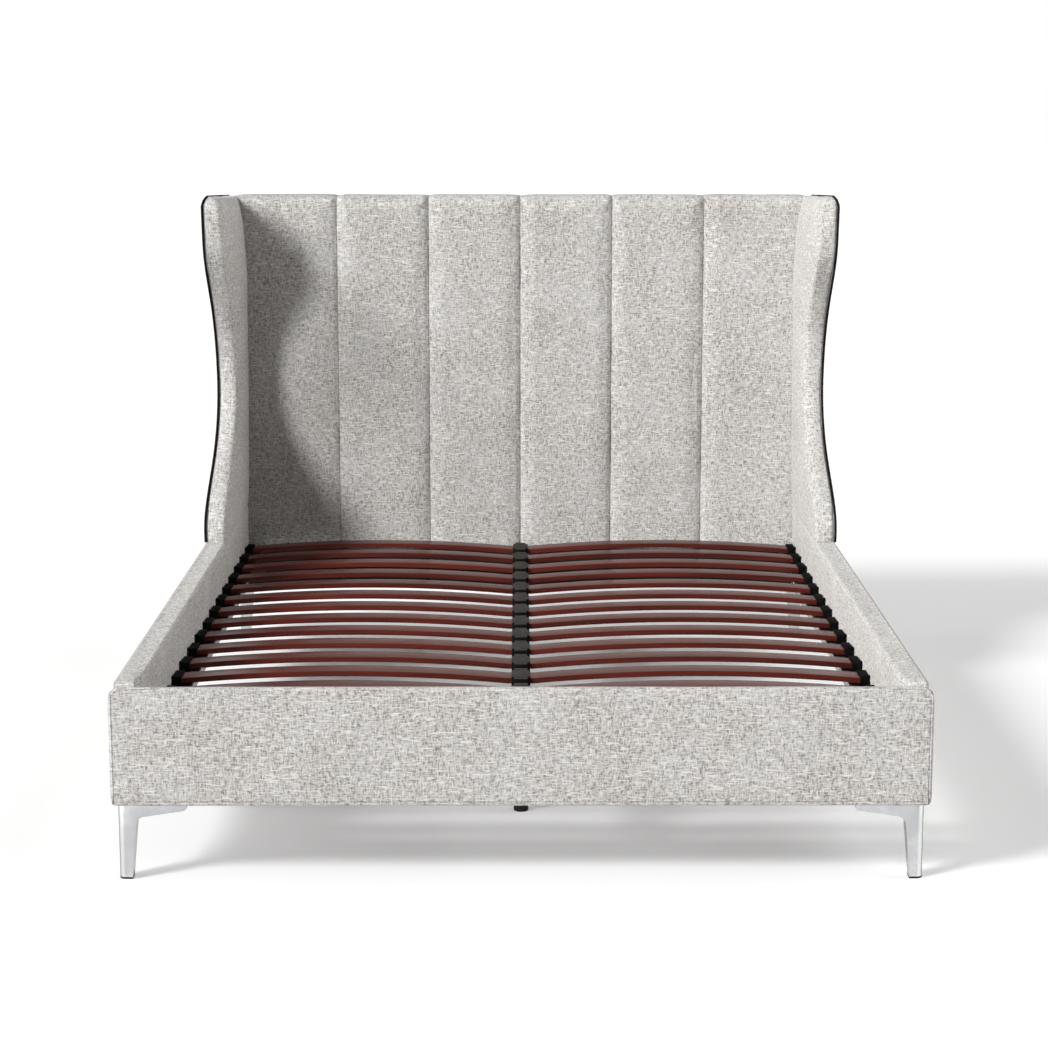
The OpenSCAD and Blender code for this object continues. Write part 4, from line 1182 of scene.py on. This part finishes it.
class BED_OT_studio(bpy.types.Operator):
    """Adds the floor, the lights and the camera"""

    bl_idname = "bed.studio"
    bl_label = "Studio"

    def execute(self, context):
        """Sets a white floor that keeps its shadow, with a painted shadow where its glow is lowered under the
        bed, soft key and fill light and the photograph's view.
        """
        scene = context.scene
        clear_selection()
        bpy.ops.mesh.primitive_plane_add(size=90, location=(0, 0, 0))
        floor = named("studio_floor")
        paper = Finish("floor_paper", Roughness=0.9, Specular_IOR_Level=0.0)
        tooth = paper.grain(paper.x * 140, paper.y * 140, 0)
        paper.feed("Base Color", paper.tones(tooth, (0.3, shade(WHITE, 0.86)), (0.7, shade(WHITE, 0.88))))
        # Painted shadow: the floor's glow fades out under the bed's footprint.
        across = 1 - abs(paper.x).ramp(0.52, 0.78)
        painted_shade_under_bed = across * paper.y.ramp(-0.70, -0.40) * (1 - paper.y.ramp(0.85, 1.05))
        glow = paper.add("ShaderNodeEmission", {"Color": WHITE, "Strength": 0.23 - painted_shade_under_bed * 0.23})
        both = paper.add("ShaderNodeAddShader", {0: paper.surface, 1: glow})
        paper.show(paper.add("ShaderNodeMixShader", {0: paper.seen(), 1: paper.surface, 2: both}))
        floor.data.materials.append(paper.material)

        scene.world = bpy.data.worlds.new("studio_world")
        scene.world.use_nodes = True
        sky = Graph(scene.world.node_tree, "ShaderNodeOutputWorld")
        soft = sky.add("ShaderNodeBackground", {"Color": WHITE, "Strength": 0.20})
        white = sky.add("ShaderNodeBackground", {"Color": WHITE, "Strength": 1.0})
        sky.show(sky.add("ShaderNodeMixShader", {0: sky.seen(), 1: soft, 2: white}))

        channels = [piece for piece in bpy.data.objects if piece.name.startswith("padded_channel")]
        unlit_by = {"key": [floor], "far_fill": channels}
        for name, energy, degrees, towards in (("key", 2.3, 12, (0.61, 1.0, -0.35)),
                                               ("side_light", 2.35, 15, (1.17, 0.75, -1.0)),
                                               ("side_fill", 2.1, 60, (1.0, 0.1, -0.12)),
                                               ("far_fill", 2.0, 80, (-1.0, 0.05, -0.35))):
            sun = bpy.data.lights.new(name, "SUN")
            sun.energy = energy
            sun.angle = math.radians(degrees)
            lamp = bpy.data.objects.new(name, sun)
            lamp.rotation_euler = Vector(towards).to_track_quat("-Z", "Y").to_euler()
            scene.collection.objects.link(lamp)
            if name in unlit_by:
                unlit = bpy.data.collections.new(f"unlit_by_{name}")
                for piece in unlit_by[name]:
                    unlit.objects.link(piece)
                for entry in unlit.collection_objects:
                    entry.light_linking.link_state = "EXCLUDE"
                lamp.light_linking.receiver_collection = unlit

        lens = bpy.data.cameras.new("view")
        lens.lens = 83.87
        lens.sensor_width = 36
        camera = bpy.data.objects.new("view", lens)
        camera.location = (-0.0049, -5.70535, 1.5687)
        camera.rotation_euler = (math.radians(79.493), 0, math.radians(-0.129))
        scene.collection.objects.link(camera)
        scene.camera = camera
        scene.view_settings.view_transform = "Standard"
        return {"FINISHED"}


class BED_PT_panel(bpy.types.Panel):
    """Lists the bed's sizes, colours and building steps"""

    bl_idname = "BED_PT_panel"
    bl_label = "Wingback bed"
    bl_space_type = "VIEW_3D"
    bl_region_type = "UI"
    bl_category = "Bed"

    def draw(self, context):
        """Draws the settings and one button for each step."""
        layout = self.layout
        for group in (context.scene.bed_padding, context.scene.bed_colours):
            box = layout.box()
            for key in group.__annotations__:
                box.prop(group, key)
        for step in STEPS:
            layout.operator(step.bl_idname)


STEPS = (BED_OT_channels, BED_OT_headboard_back, BED_OT_wings, BED_OT_side_rails, BED_OT_foot_rail,
         BED_OT_slats, BED_OT_slat_holders, BED_OT_steelwork, BED_OT_corner_legs, BED_OT_centre_legs,
         BED_OT_studio)
CLASSES = (BedPadding, BedColours) + STEPS + (BED_PT_panel,)


def register():
    """Registers the classes and the settings on the scene."""
    for item in CLASSES:
        bpy.utils.register_class(item)
    bpy.types.Scene.bed_padding = bpy.props.PointerProperty(type=BedPadding)
    bpy.types.Scene.bed_colours = bpy.props.PointerProperty(type=BedColours)


def unregister():
    """Takes the settings and the classes away."""
    del bpy.types.Scene.bed_colours
    del bpy.types.Scene.bed_padding
    for item in reversed(CLASSES):
        bpy.utils.unregister_class(item)


def main():
    """Builds the bed step by step."""
    register()
    bpy.ops.bed.channels()
    bpy.ops.bed.headboard_back()
    bpy.ops.bed.wings()
    bpy.ops.bed.side_rails()
    bpy.ops.bed.foot_rail()
    bpy.ops.bed.slats()
    bpy.ops.bed.slat_holders()
    bpy.ops.bed.steelwork()
    bpy.ops.bed.corner_legs()
    bpy.ops.bed.centre_legs()
    bpy.ops.bed.studio()


if __name__ == "__main__":
    main()
